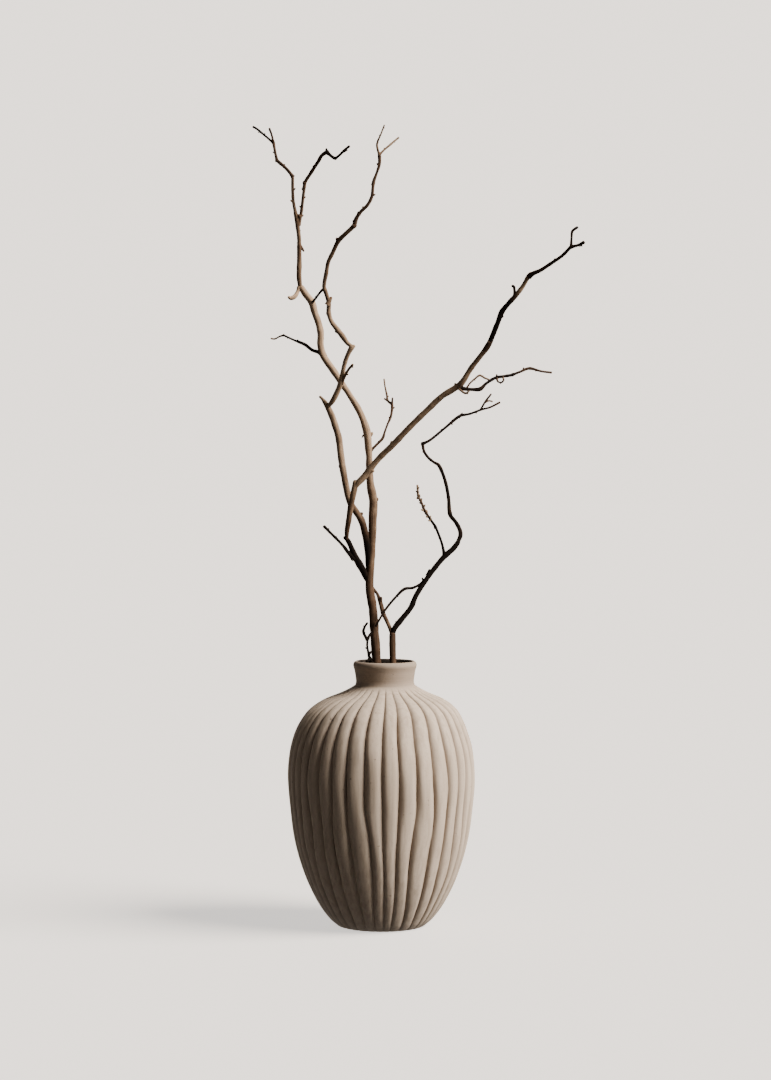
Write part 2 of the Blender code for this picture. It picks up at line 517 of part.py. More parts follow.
def fuse(trunk, shoots):
    """One closed body out of the trunk and the shoots sunk into it."""
    group = bpy.data.collections.new(trunk.name + "_shoots")
    bpy.context.scene.collection.children.link(group)
    for shoot in shoots:
        bpy.context.scene.collection.objects.unlink(shoot)
        group.objects.link(shoot)
    union = trunk.modifiers.new("Grown together", "BOOLEAN")
    union.operation = "UNION"
    union.operand_type = "COLLECTION"
    union.collection = group
    union.solver = "EXACT"
    bpy.context.view_layer.objects.active = trunk
    with bpy.context.temp_override(object=trunk, active_object=trunk):
        bpy.ops.object.modifier_apply(modifier=union.name)
    for shoot in shoots:
        bpy.data.objects.remove(shoot, do_unlink=True)
    bpy.data.collections.remove(group)


def build_branch(name, twigs, stem, hidden, knots, finish):
    """A branch: its stem from the cut end up, then every shoot and knot fused to it."""
    stem_route = hidden + drawn_route(twigs[stem])
    trunk = new_object(name, tube(stem_route, sides_for(twigs[stem][0][3])), finish)
    shoots = []
    for twig, points in twigs.items():
        if twig != stem:
            route = drawn_route(points)
            shoots.append(new_object(name + "_" + twig, tube(route, sides_for(points[0][3])), finish))
    for index, knot in enumerate(knots):
        shoots.append(new_object(name + "_knot_" + str(index), tube(knot_route(knot), KNOT_SIDES), finish))
    fuse(trunk, shoots)
    trunk.data.shade_smooth()
    trunk.data.set_sharp_from_angle(angle=math.radians(TWIG_SHARP_ANGLE))
    return trunk


def main():
    clear_scene()
    clay = material("clay", CLAY_COLOUR, CLAY_ROUGHNESS)
    bark = material("bark", BARK_COLOUR, BARK_ROUGHNESS)
    build_vase(clay)
    main_stem = hidden_route(MAIN_CUT_END, MAIN_HIDDEN_STEM)
    build_branch("main_branch", MAIN_TWIGS, "leader", main_stem, MAIN_KNOTS, bark)
    side_stem = hidden_route(SIDE_CUT_END, SIDE_HIDDEN_STEM)
    build_branch("side_branch", SIDE_TWIGS, "side_stem", side_stem, SIDE_KNOTS, bark)


main()
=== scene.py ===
"""Looks of the crooked twigs in a carved clay vase.

The vase is spun from its outline, then its ribs are carved in; the two cut branches are swept
along their routes with bark, knots and buds, and each twig is rooted in the one it grew from.
Lengths in the lists are millimetres, as in the part; MM brings them to metres.
"""
import math
import random

import bpy
import numpy as np
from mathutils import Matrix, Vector, noise


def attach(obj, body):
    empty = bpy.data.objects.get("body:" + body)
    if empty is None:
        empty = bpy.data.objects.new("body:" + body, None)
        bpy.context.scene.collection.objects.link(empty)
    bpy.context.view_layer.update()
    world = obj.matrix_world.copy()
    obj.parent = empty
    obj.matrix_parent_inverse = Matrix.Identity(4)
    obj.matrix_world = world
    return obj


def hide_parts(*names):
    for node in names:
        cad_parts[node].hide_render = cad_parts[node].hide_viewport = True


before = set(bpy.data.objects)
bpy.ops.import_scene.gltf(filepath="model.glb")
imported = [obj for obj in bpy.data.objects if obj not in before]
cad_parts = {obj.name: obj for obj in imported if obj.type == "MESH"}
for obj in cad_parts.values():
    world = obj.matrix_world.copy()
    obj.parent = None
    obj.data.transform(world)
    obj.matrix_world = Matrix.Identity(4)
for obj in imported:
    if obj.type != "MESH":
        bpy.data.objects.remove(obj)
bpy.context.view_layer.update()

MM = 0.001

# Camera: where it stands and how it frames, as in the photograph
EYE = Vector((4.5, -2560, 485))
LENS = 80
SENSOR_WIDTH = 36
FRAME_SHIFT = -0.066
# Light: turns are to the right of the camera's side and heights above the floor, both in degrees.
# The back light is for what faces away from the camera
KEY_TURN = 74
KEY_HEIGHT = 37
KEY_ENERGY = 11.7
BACK_TURN = 180
BACK_HEIGHT = 3
BACK_ENERGY = 2
LIGHT_COLOUR = (1, 0.94, 0.865)
LIGHT_SOFTNESS = 38
# The surround: its colour, its strength to the camera's eye, and its strength as a light
SURROUND_COLOUR = (0.96, 0.87, 0.78, 1)
SURROUND_STRENGTH = 2.4
FILL_STRENGTH = 0.1
# Floor, with its size and its drop under the vase in metres
FLOOR_SHADE = (0.53, 0.49, 0.45)
FLOOR_ROUGHNESS = 0.9
FLOOR_SIZE = 60
FLOOR_DROP = 0.0003

# Vase outline as rows of (height, radius). From NECK_OFFSET_FROM up it leans to the right, by
# NECK_OFFSET at the neck
VASE_HEIGHT = 280
FOOT_RADIUS = 47.5
BELLY_RADIUS = 100
BELLY_HEIGHT = 157
NECK_RADIUS = 30.9
NECK_HEIGHT = 258
LIP_RADIUS = 33.9
MOUTH_RADIUS = 28.6
THROAT_RADIUS = 26
FLOOR_THICKNESS = 8
NECK_OFFSET = 3.9
NECK_OFFSET_FROM = 200
CREST_OUTLINE = [
    (0, FOOT_RADIUS), (7, 55.5), (24, 67.8), (50, 80.6), (84, 91.4), (118, 97),
    (BELLY_HEIGHT, BELLY_RADIUS),
    (186, 97.4), (208, 91), (224, 82.5), (232, 75), (239, 64), (246, 47.4), (251, 37.5), (254.5, 31.8)]
NECK_OUTLINE = [
    (NECK_HEIGHT, NECK_RADIUS), (264, 31.5), (271, 32.7), (275.5, LIP_RADIUS), (278.6, 33.1),
    (VASE_HEIGHT, 31.2), (279.7, 29.8), (277.5, MOUTH_RADIUS)]
HOLLOW_OUTLINE = [
    (269, 27), (NECK_HEIGHT, THROAT_RADIUS), (253, 27.5), (248, 32), (241, 42), (233, 55), (223, 68),
    (205, 81), (180, 87.5), (150, 90), (110, 86.5), (70, 77.5), (40, 65), (20, 52), (11, 43),
    (FLOOR_THICKNESS, 36)]
# Widest gap between rows of points on the belly, on the neck and in the hollow
OUTER_ROW = 2.4
NECK_ROW = 1.5
HOLLOW_ROW = 10
# Radii of the rings that close the foot and the inner floor
FOOT_RINGS = (0, 12, 26, 38, 45, 46.9)
FLOOR_RINGS = (24, 12, 0)
# Outside is what lies within OUTSIDE_MARGIN of the crest outline. Inside is the mouth, within
# INSIDE_RADIUS and above INSIDE_FROM, and the belly, from FLOOR_MARGIN under the inner floor up
OUTSIDE_MARGIN = 2
INSIDE_RADIUS = 30.2
INSIDE_FROM = 240
FLOOR_MARGIN = 1
MERGE_DISTANCE = 0.005
VASE_SMOOTH_ANGLE = 48

# Grooves seen from the front, in degrees from -Y towards +X, and the jitter of those behind. All but
# the middle ones leave their line in a slow wave, which dies out between the heights of WAVE_FADE
FRONT_GROOVES = [-75, -67, -59.5, -51.5, -41, -32, -22, -10.5, 1, 11.5, 22.5, 34.5, 45.5, 55.5, 64.5, 75]
BACK_GROOVE_COUNT = 18
GROOVE_JITTER = 1.1
GROOVE_WAVE = 0.8
GROOVE_WAVE_LENGTH = 130
WAVE_FADE = (235, 252)
# Depth of the grooves as a share of a rib's width, where it fades under the neck and at the foot,
# the places of the columns across a rib, and how full its back is
RIB_DEPTH_SHARE = 0.215
RIB_FADE_HEIGHT = 254
RIB_FADE_LENGTH = 9
RIB_FOOT_SHARE = 0.6
RIB_FOOT_LENGTH = 18
RIB_STATIONS = [0, 0.018, 0.05, 0.1, 0.17, 0.26, 0.36, 0.47, 0.58, 0.68, 0.77, 0.86, 0.93, 0.975]
RIB_ROUNDING = 3.1
# The wider a rib is, the deeper it is cut, up to this many mean widths
WIDEST_RIB = 1.1
JITTER_SEED = 7
WAVE_SEED = 11
# How the middle grooves leave their line, by their place in FRONT_GROOVES, as (height, degrees)
GROOVE_WANDER = {
    5: [(20, 2), (60, 1), (100, -0.8), (150, 0.6), (200, 0)],
    6: [(16, 4.2), (39, 3.8), (74, 2.7), (92, 1.8), (117, 0.4), (153, 0.2), (216, 0)],
    7: [(17, 4), (45, 5), (66, 5.2), (93, 4.2), (108, 3.3), (118, 2.4), (133, 0.7), (181, 0.3), (233, 0)],
    8: [(17, 1.8), (39, 1.4), (66, 0.9), (93, 0.1), (133, -0.5), (217, -0.4), (240, 0)],
    9: [(17, -0.9), (39, -1), (66, -1.5), (92, -1.6), (113, -1.2), (133, -0.7), (156, -0.3), (217, -1),
        (240, 0)],
    10: [(16, 0.5), (39, -2.1), (66, -3), (92, -2.8), (112, -1.5), (132, 0.4), (153, -0.1), (216, 0)],
}
# How far up and down those lines are softened, in steps of WANDER_SOFTNESS, and at how many heights
WANDER_SOFTNESS = 7
WANDER_REACH = 2
WANDER_SAMPLES = 17
# Where the crest of a rib lies between its grooves, how far it wanders, and over what length
CREST_PLACE = 0.44
CREST_WANDER = 0.09
CREST_WANDER_LENGTH = 90
CREST_SEED = 5
# How much deeper the carving is on the shoulder, from what height up, and over what rise
SHOULDER_DEPTH = 0.5
SHOULDER_FROM = 226
SHOULDER_RISE = 16
# How much deeper or shallower the carving gets along a rib, and over what length
DEPTH_CHANGE = 0.13
DEPTH_CHANGE_LENGTH = 70
DEPTH_SEED = 3
# Soft hollows left by the hands: depth, size, and how much of the surface they take beyond half
HAND_DENT = 0.5
HAND_DENT_SIZE = 34
HAND_DENT_MORE = 0.2

# Route of each twig from its root to its tip, as (across, up, depth behind the vase's axis,
# thickness) in millimetres, read on an upright sheet through the axis
MAIN_TWIGS = {
    "leader": [(-4.5, 279.5, 20.4, 9.3), (-6, 301.5, 25, 9.1), (-8.5, 335.5, 31, 8.8), (-12, 360, 35, 8.4),
        (-10, 392.5, 37, 7.5), (-9, 417, 37, 7.8), (-8.5, 434, 36, 8.3), (-8, 451, 36, 8.8),
        (-10.7, 466, 36, 8), (-12, 482.5, 36, 6.8), (-12.5, 499, 37, 6.4), (-13.4, 510, 38, 7.2),
        (-14.4, 522.5, 40, 8), (-18.3, 536, 42, 6.8), (-24.5, 549.5, 46, 6.4), (-33.2, 563.5, 50, 5.7),
        (-43.2, 578.5, 54, 6), (-51.1, 590.5, 57, 6.6), (-60.5, 604, 61, 6.7), (-64.3, 616.5, 62, 6.6),
        (-64.2, 629.5, 63, 6.5), (-66.6, 641, 64, 6.5), (-70.5, 652, 64, 6.6), (-73.7, 662.5, 63, 7),
        (-80.8, 672, 61, 6.4), (-86, 680, 60, 5.9)],
    "leader_top": [(-86, 678.5, 60, 5.3), (-87.2, 690, 59, 5), (-86.9, 704, 58, 4.8), (-87, 718, 57, 4.3),
        (-87.2, 731, 55, 4), (-88.6, 742.5, 54, 4.2), (-90, 752, 52, 3.9), (-91.5, 760.5, 50, 3.2),
        (-93.5, 772, 48, 2.9), (-94, 784, 47, 2.8), (-94, 796.5, 46, 2.9)],
    "leader_tip": [(-93.5, 796, 46, 3.2), (-98.5, 802.5, 47, 3), (-104, 808, 48, 2.9),
        (-110.5, 813.5, 50, 3.2)],
    "tip_a": [(-110.5, 812.5, 50, 2.9), (-112.5, 822, 51, 2.4), (-114.5, 833, 53, 2.8)],
    "tip_a_left": [(-114, 832, 53, 2.5), (-119.7, 837, 56, 2), (-126.2, 842.5, 60, 1.8),
        (-132.2, 847.5, 63, 1.9), (-136.7, 850, 65, 2)],
    "tip_a_up": [(-114.5, 833, 53, 2), (-116.5, 841.5, 50, 1.7), (-119, 848.5, 47, 1.8)],
    "second_top": [(-87.8, 744.5, 54, 3.5), (-85.2, 756, 52, 3), (-83.6, 768, 48, 2.8), (-82, 782, 44, 2.9),
        (-80.5, 791, 41, 3.2), (-75.5, 799, 38, 3.1), (-70.5, 807, 35, 3.3), (-66.5, 813, 31, 3.2),
        (-63, 819, 28, 3.4), (-57.5, 823, 24, 4.1)],
    "second_hook": [(-58, 823, 24, 3.6), (-53.5, 819, 21, 2.8), (-48.5, 815.5, 18, 2.9)],
    "second_end": [(-49, 815.5, 18, 2.3), (-44, 819.5, 15, 2.2), (-39, 824.5, 12, 2.4),
        (-33, 829.5, 9, 1.8)],
    "fork": [(-12.6, 368, 37, 5.6), (-13.1, 385, 36, 6), (-14.7, 403, 34, 6.2), (-17, 417, 31, 6.6),
        (-20.6, 430, 28, 6.8), (-26.7, 439.5, 25, 6.5), (-33, 450, 22, 6.4), (-37, 466, 21, 6.6),
        (-40.5, 485.5, 21, 6.8), (-42.5, 499, 22, 6.6), (-45, 518.5, 23, 6.6), (-49, 532, 22, 6.4),
        (-54, 545.5, 19, 6.4), (-58.5, 554, 17, 4.9), (-62, 559, 17, 2.8), (-65.5, 562.5, 18, 2.1)],
    "fork_second": [(-56, 551.5, 16, 5.1), (-51, 558, 12, 5.3), (-46.2, 567.5, 8, 5.4),
        (-42.7, 577, 4, 5.1), (-40.6, 587.5, 0, 4.5), (-38, 599, -4, 4.2), (-34.5, 608, -8, 4.3),
        (-31, 614, -10, 4.6), (-27.5, 616.5, -11, 2.8)],
    "fork_third": [(-30.3, 615, -10, 4.9), (-35.6, 619, -9, 4.4), (-40.5, 626, -9, 5.1),
        (-45.9, 633, -8, 5.1), (-52.5, 642, -8, 4.4), (-55.5, 651.5, -9, 4.4), (-55.5, 662, -11, 4.4),
        (-58, 671, -14, 3.9), (-60.5, 679.5, -16, 3.9), (-58, 694.5, -20, 3.8), (-56, 705.5, -23, 3.8),
        (-51.5, 715, -26, 3.8), (-45.1, 728, -31, 4.3), (-37.1, 736, -35, 4.1), (-28.7, 744.5, -38, 4.3),
        (-25.8, 752.5, -40, 3.8), (-21.4, 759, -42, 3.3), (-14, 766.5, -45, 3.1), (-9.5, 775.5, -46, 3),
        (-8.5, 784.5, -47, 2.8), (-7.5, 791.5, -47, 3.2), (-4.5, 800, -48, 2.4), (-1.5, 810, -48, 2.9),
        (-1.5, 820, -48, 3.2)],
    "fork_tip_left": [(-1.5, 819, -48, 2.3), (-4, 831, -50, 1.8), (0, 841.5, -54, 1.2), (4, 852, -58, 1.1)],
    "fork_tip_right": [(-1.5, 820, -48, 2.1), (4, 825.5, -45, 1.6), (10, 830.5, -42, 1.8),
        (14.5, 834.5, -40, 1.5), (19.5, 838.5, -38, 1.6)],
    "cross_shoot": [(-42, 575.5, 4, 2.9), (-39, 582, 0, 2.5), (-35, 590, -5, 2.3),
        (-29.5, 596.5, -11, 2.1)],
    "bough_low": [(-13, 363.5, 37, 6.2), (-18, 374.5, 33, 6.9), (-23.5, 384.5, 27, 6.8),
        (-28.5, 393.5, 20, 6.1), (-32, 402, 14, 5), (-35.5, 409, 9, 4.8), (-39.5, 412.5, 7, 2.9)],
    "bough_mid": [(-36.5, 410, 8, 5.1), (-36, 419, 5, 5.1), (-34.5, 428.5, 2, 5.3), (-32.5, 441.5, 0, 5.7),
        (-30, 454.5, -3, 5.7), (-28, 464.5, -4, 6), (-27, 473, -5, 3.7)],
    "bough": [(-28, 464.5, -4, 6.3), (-24, 470, -5, 6.8), (-18.6, 475.7, -6, 6.8), (-11.8, 484.1, -8, 6.5),
        (-1, 497, -12, 5.6), (13, 510.5, -18, 6.1), (32.5, 531, -26, 5.7), (50, 548, -32, 5.7),
        (65.5, 562.5, -37, 5.8), (78.5, 570.5, -41, 6), (86.2, 576.5, -44, 5.7), (96.2, 592, -48, 5.1),
        (106.1, 605, -53, 5), (114.6, 616.5, -57, 5.4), (120, 629, -61, 5), (124.6, 640.5, -65, 4.9),
        (129, 652, -69, 5.4), (136, 661, -73, 4.8), (144.2, 670, -77, 4.7), (151.7, 680, -80, 4),
        (158, 691, -84, 3.9), (161, 694.5, -85, 2.4)],
    "bough_top": [(157.5, 689.5, -84, 4.5), (163, 693.5, -86, 4.2), (170, 696.5, -88, 3.6),
        (180.8, 703.5, -91, 3.3), (193.8, 712.5, -95, 3), (203, 722, -99, 3.1)],
    "bough_tip_right": [(202.5, 721.5, -99, 3.1), (210.5, 723.5, -102, 2.6), (217.5, 727, -105, 3.1)],
    "bough_tip_up": [(203, 721.5, -99, 2.5), (203.5, 731.5, -97, 2.1), (204.5, 738.5, -95, 2.5),
        (210.5, 743, -93, 2.1)],
    "bough_spur": [(143, 669, -77, 2.9), (142.5, 676.5, -76, 2.3), (142, 679, -76, 2.5),
        (139.5, 680.5, -75, 2.1)],
    "bough_side": [(82, 573, -42, 4.6), (88, 570.5, -40, 3.9), (97.5, 569.5, -36, 3.1),
        (106, 570, -32, 3.9), (112.5, 576, -28, 2.7), (122.5, 582, -22, 2.9), (131, 583.5, -18, 2.5),
        (140.5, 585, -14, 2.5)],
    "bough_side_end": [(140, 585, -14, 2.5), (149, 588.5, -9, 2.2), (158.5, 592, -4, 2.5),
        (171, 589, 1, 1.9), (182.5, 587.5, 6, 1.9)],
    "curl_up": [(91.5, 570.5, -38, 1.7), (95, 576, -37, 1.5), (100.5, 581, -36, 1.5),
        (105.5, 584.5, -35, 1.8), (110.5, 582, -32, 1.5), (115.5, 580, -29, 1.5)],
    "curl_low": [(82, 571.5, -43, 1.9), (86, 568, -44, 1.8), (90.5, 565.5, -46, 2), (94.5, 568, -47, 1.5)],
    "curl_ring": [(123.5, 582, -22, 1.6), (125, 578, -24, 1.5), (128.5, 577, -26, 1.5),
        (131, 579.5, -27, 1.5), (130, 583, -26, 1.3)],
    "left_spur": [(-29, 389, 21, 4.1), (-35, 396, 13, 3.5), (-39.5, 402, 8, 2.9), (-45, 408, 4, 2.6),
        (-50, 413, 0, 2.5), (-56, 419, -5, 2.6), (-61, 424, -10, 2.6)],
    "left_shoot": [(-62, 606.5, 61, 4), (-67, 609.5, 63, 3.6), (-73, 611.5, 66, 2.9), (-81, 617.5, 71, 3.2),
        (-92, 622, 77, 1.8), (-104, 627.5, 84, 1.7)],
    "left_shoot_end": [(-103, 627.5, 84, 1.8), (-108, 626, 87, 1.3), (-113, 623.5, 89, 1.3),
        (-117.5, 624, 91, 1.2)],
    "bridge": [(-74, 661, 63, 2.6), (-70.5, 665.5, 56, 2.2), (-66, 671.5, 48, 2), (-62, 676.5, 40, 2)],
    "right_shoot": [(-12, 502.5, 37, 2.8), (-7.5, 507.5, 38, 2.4), (-3, 512, 40, 2.3), (2, 517.5, 42, 2.5),
        (4.5, 525, 45, 1.8), (7.5, 533, 48, 1.8), (10.5, 540, 51, 2.1), (12, 548.5, 54, 2.3),
        (12, 554.5, 56, 2.5)],
    "right_shoot_a": [(12, 554, 56, 2.1), (7.5, 557.5, 57, 2), (6.5, 563.5, 58, 1.7), (4.5, 573, 60, 1.3),
        (3.5, 581, 62, 1.3)],
    "right_shoot_b": [(8, 557, 57, 1.6), (3.5, 560, 55, 1.5)],
    "right_shoot_c": [(12, 553.5, 56, 1.8), (12.5, 561, 54, 1.4)],
    "pale_curl": [(-87, 679, 60, 3), (-89, 673, 58, 3.6), (-92, 668.5, 55, 4.2), (-96, 667, 53, 3.7),
        (-99, 668.5, 51, 2)],
    "rim_shoot": [(-6.5, 272, 20.5, 3.8), (-10.5, 280, 15, 3.1), (-12.5, 285, 11, 2.5),
        (-13.5, 290, 8, 2.2), (-14.5, 296.5, 6, 1.9), (-14, 303.5, 5, 2.1)],
    "rim_shoot_left": [(-14.5, 302.5, 5, 2.4), (-18.5, 311, 2, 2.6), (-17, 316.5, 0, 2),
        (-14, 321, -2, 1.9)],
    "rim_shoot_right": [(-14, 303, 5, 2.3), (-12, 307.5, 7, 2.1), (-9.5, 310.5, 9, 1.8)],
    "rim_shoot_link": [(-13, 287, 10, 2.2), (-10, 290, 14, 2.2)],
    "rim_shoot_low": [(-11, 283, 13, 2.6), (-15.5, 279, 8, 2.4)],
}
SIDE_TWIGS = {
    "side_stem": [(13, 279.5, 21, 6.6), (12.5, 296.5, 25, 6.4), (12.5, 310.5, 28, 6.6)],
    "side_right": [(12.5, 308, 28, 6.8), (14.5, 314.5, 28, 6.1), (21, 323, 30, 5.3), (32, 337, 34, 5),
        (37.8, 350, 37, 5), (48.3, 366.5, 42, 4.8), (59, 381, 46, 4.8), (68.5, 392, 50, 5.3),
        (77.5, 400, 53, 5.3), (83.5, 408, 56, 4.5)],
    "side_elbow": [(82, 406.5, 55, 5.2), (85, 414, 58, 4.6), (84, 420.5, 60, 4), (80, 428, 63, 3.7),
        (74, 436, 66, 4), (72.3, 453, 71, 3.3), (69.7, 468, 76, 3.2), (65.6, 481, 80, 3.1),
        (61.5, 489, 82, 3.3), (56.5, 492, 83, 2.4), (50.5, 497, 84, 2.5), (46, 504, 84, 2.5),
        (44.5, 512.5, 85, 3.1)],
    "side_top": [(44.5, 511.5, 85, 2.7), (52.5, 515.5, 88, 2.3), (68.5, 528.5, 94, 2.2),
        (84, 541, 100, 2.8), (95, 543.5, 103, 1.9), (107, 548, 106, 1.9)],
    "side_tip_right": [(106.5, 548, 106, 1.7), (116.5, 550.5, 108, 1.7), (127.5, 556, 110, 1.8)],
    "side_tip_up": [(106.5, 548, 106, 1.5), (111.5, 556.5, 104, 1.8), (118, 565, 101, 1.5)],
    "side_tip_arc": [(111.5, 556, 104, 1.3), (115.5, 557.5, 106, 1.3), (119.5, 556.5, 108, 1.3)],
    "bud_twig": [(68, 391.5, 50, 3.4), (65.5, 404, 46, 2.3), (61.5, 415.5, 42, 2.2), (58, 423.5, 40, 2.6),
        (52.5, 431.5, 36, 2.2), (46.5, 441, 33, 2.6), (43, 450, 31, 2), (40, 455.5, 29, 2.2),
        (39.5, 461.5, 28, 1.8), (39, 468, 27, 1.8)],
    "side_loop": [(46, 364, 41, 3.7), (41.5, 361.5, 40, 2.5), (34.5, 358, 37, 2.2), (25, 356.5, 33, 2.8),
        (15, 347, 29, 2.1), (5.5, 335.5, 24, 2.1), (0.5, 327.5, 21.5, 1.8), (-5.5, 316.5, 19, 1.8)],
    "side_left": [(12, 309, 28, 5.8), (9.5, 315.5, 30, 4.3), (6, 323.5, 33, 3.9), (2.5, 331, 37, 4.2),
        (0, 341, 42, 4.2), (-3.5, 351, 46, 2.7), (-8, 357, 48, 2.6), (-13, 364, 50, 2.1)],
}
# The points follow the lit face of the bark. A twig's middle lies this far across from them, to the
# left where it is below zero, and its shaded edge makes it this much thicker
SHADE_SHIFT = -0.55
SHADE_THICKNESS = 0.6
# Inside the vase: where the cut ends stand as (x, y, thickness), then the stems' points as (x, y, z,
# thickness)
MAIN_CUT_END = (0.5, -11, 10.2)
MAIN_HIDDEN_STEM = [(-2, 3.5, 130, 10), (-4.3, 18.3, 256, 9.8)]
SIDE_CUT_END = (15.5, -12.5, 7)
SIDE_HIDDEN_STEM = [(14.3, 3.5, 130, 6.8), (13, 19.3, 256, 6.6)]
# Clearance between the cut ends of the stems and the vase's floor, and the slack for their slant
GAP = 0.3
SLANT_SLACK = 1.05
# Knots and short dead stubs, as (point on the twig, tip, depth, thickness)
MAIN_KNOTS = [
    ((-4.5, 452), (-3, 454), 36, 3.6), ((-10.5, 521.5), (-8.5, 524), 40, 3.6),
    ((-18.5, 520), (-19.5, 521), 40, 3.2), ((-63, 622.5), (-61, 625.5), 63, 2.3),
    ((-42.5, 487.5), (-45, 488.5), 21, 3), ((-22.5, 435.5), (-19, 438), 27, 3.6),
    ((12.5, 511), (11, 514.5), -18, 3.2), ((-10, 484), (-7, 481.5), -9, 2.8),
    ((63, 561), (62, 563.5), -37, 2.8), ((75, 569), (73.5, 571.5), -40, 3),
    ((80.5, 573), (79, 576.5), -42, 2.1), ((115, 618.5), (117, 615.5), -58, 3.2),
    ((116, 620), (119.5, 620), -59, 2.6), ((121.5, 630.5), (123.5, 630), -62, 2.6),
    ((128, 648), (131, 647), -68, 3), ((-56.5, 651.5), (-58, 652.5), -9, 2.8),
    ((-55.5, 662.5), (-52.5, 668.5), -12, 3), ((-47.5, 631.5), (-49, 631), -8, 2.6),
    ((-40.5, 626.5), (-39, 628.5), -9, 2.6), ((-56.5, 705), (-58, 706), -23, 2.3),
    ((-45.5, 728), (-47.5, 731.5), -31, 2.6), ((-28, 744.5), (-25.5, 745.5), -38, 3.2),
    ((-28, 748), (-29.5, 750.5), -39, 2.3), ((-23.5, 756.5), (-24, 759.5), -41, 2.3),
    ((-7.5, 791), (-8.5, 791.5), -47, 2.1), ((-2, 809), (-1, 809), -48, 2.1),
    ((-81.5, 790), (-82.5, 792), 41, 2.3), ((-82.5, 785), (-83.5, 786), 43, 2.1),
    ((-70.5, 808), (-69, 806), 34, 2.3), ((-58, 823), (-58, 827), 24, 1.7),
    ((-108, 811), (-106, 812), 50, 2.1), ((-38.5, 824), (-36.5, 824.5), 12, 1.5),
    ((-93.5, 772), (-95, 772), 48, 1.9), ((-87.5, 738.5), (-85.5, 739.5), 55, 2.1),
    ((-87, 754.5), (-88.5, 756.5), 51, 1.9), ((-87, 692.5), (-89.5, 694), 59, 2.1),
    ((-60, 603.5), (-58, 596), 61, 2.1), ((-81.5, 618), (-81, 619.5), 71, 2.3),
    ((-38, 598.5), (-39.5, 600), -4, 2.1), ((-56.5, 420), (-55, 421.5), -5, 1.7),
    ((124, 582.5), (123.5, 586), -21, 1.3), ((140.5, 585), (141.5, 583.5), -14, 1.5),
    ((213, 724.5), (215, 722), -103, 1.3), ((11, 540.5), (9.5, 540.5), 51, 1.3),
    ((-86, 723.5), (-81.8, 716.5), 57, 2),
]
SIDE_KNOTS = [
    ((84, 541), (86.5, 544), 100, 1.5), ((74.5, 436), (72, 436.5), 66, 2.6),
    ((61.5, 488.5), (62, 490), 82, 1.9), ((44.5, 511.5), (43.5, 513.5), 85, 1.9),
    ((32, 337.5), (34, 336.5), 34, 2.8), ((51, 373), (52.5, 378), 43, 2.6),
    ((45.5, 365), (44, 369), 42, 1.5), ((18, 319.5), (17, 315), 30, 3.2),
    ((0, 342.5), (0.5, 348.5), 42, 2.1), ((1.5, 336.5), (-1, 338), 40, 1.9),
    ((46.5, 440.5), (45, 440), 33, 1.7), ((53, 431.5), (52, 429.5), 36, 1.5),
    ((58, 423), (57.5, 420.5), 40, 1.5), ((42.5, 451), (44, 453.5), 31, 1.5),
    ((40.5, 455.5), (38.5, 453), 29, 1.5), ((39.5, 460), (39, 458), 28, 1.4),
    ((39.5, 463), (40.5, 464.5), 28, 1.2), ((47, 439), (48.5, 440.5), 33, 1.4),
]
# Gap between the rings of a twig as a share of its thickness, and its least and most
RING_GAP = 0.28
RING_GAP_LIMITS = (0.5, 1.5)
# Faces round a twig, always an even number, for each thickness that it passes
RING_SIDES = ((6, 20), (3.5, 16), (2, 12), (0, 8))
TWIG_SMOOTH_ANGLE = 50
# The rounded end of a twig: its length as a share of the thickness, the least gap to the ring before
# it, and its rings as (distance from the tip, width) in shares
TIP_ROUNDING = 0.3
TIP_GAP = 0.1
TIP_SHAPE = ((1, 1), (0.4, 0.86), (0, 0.5))
# A knot as rings of (place, width): from its point on the twig at 0 to its tip at 1, and the width in
# shares of its thickness
KNOT_SHAPE = ((-0.5, 1.4), (0.55, 1.1), (1, 0.62))
# The collar that a shoot grows from: how much wider, and how long in shares of its thickness
COLLAR_SHARE = 0.3
COLLAR_LENGTH = 0.8
# A root thicker than this is a fork of the stem, and starts slimmer inside it
THICK_ROOT = 5.4
FORK_TAPER = 0.22
FORK_TAPER_LENGTH = 1.2
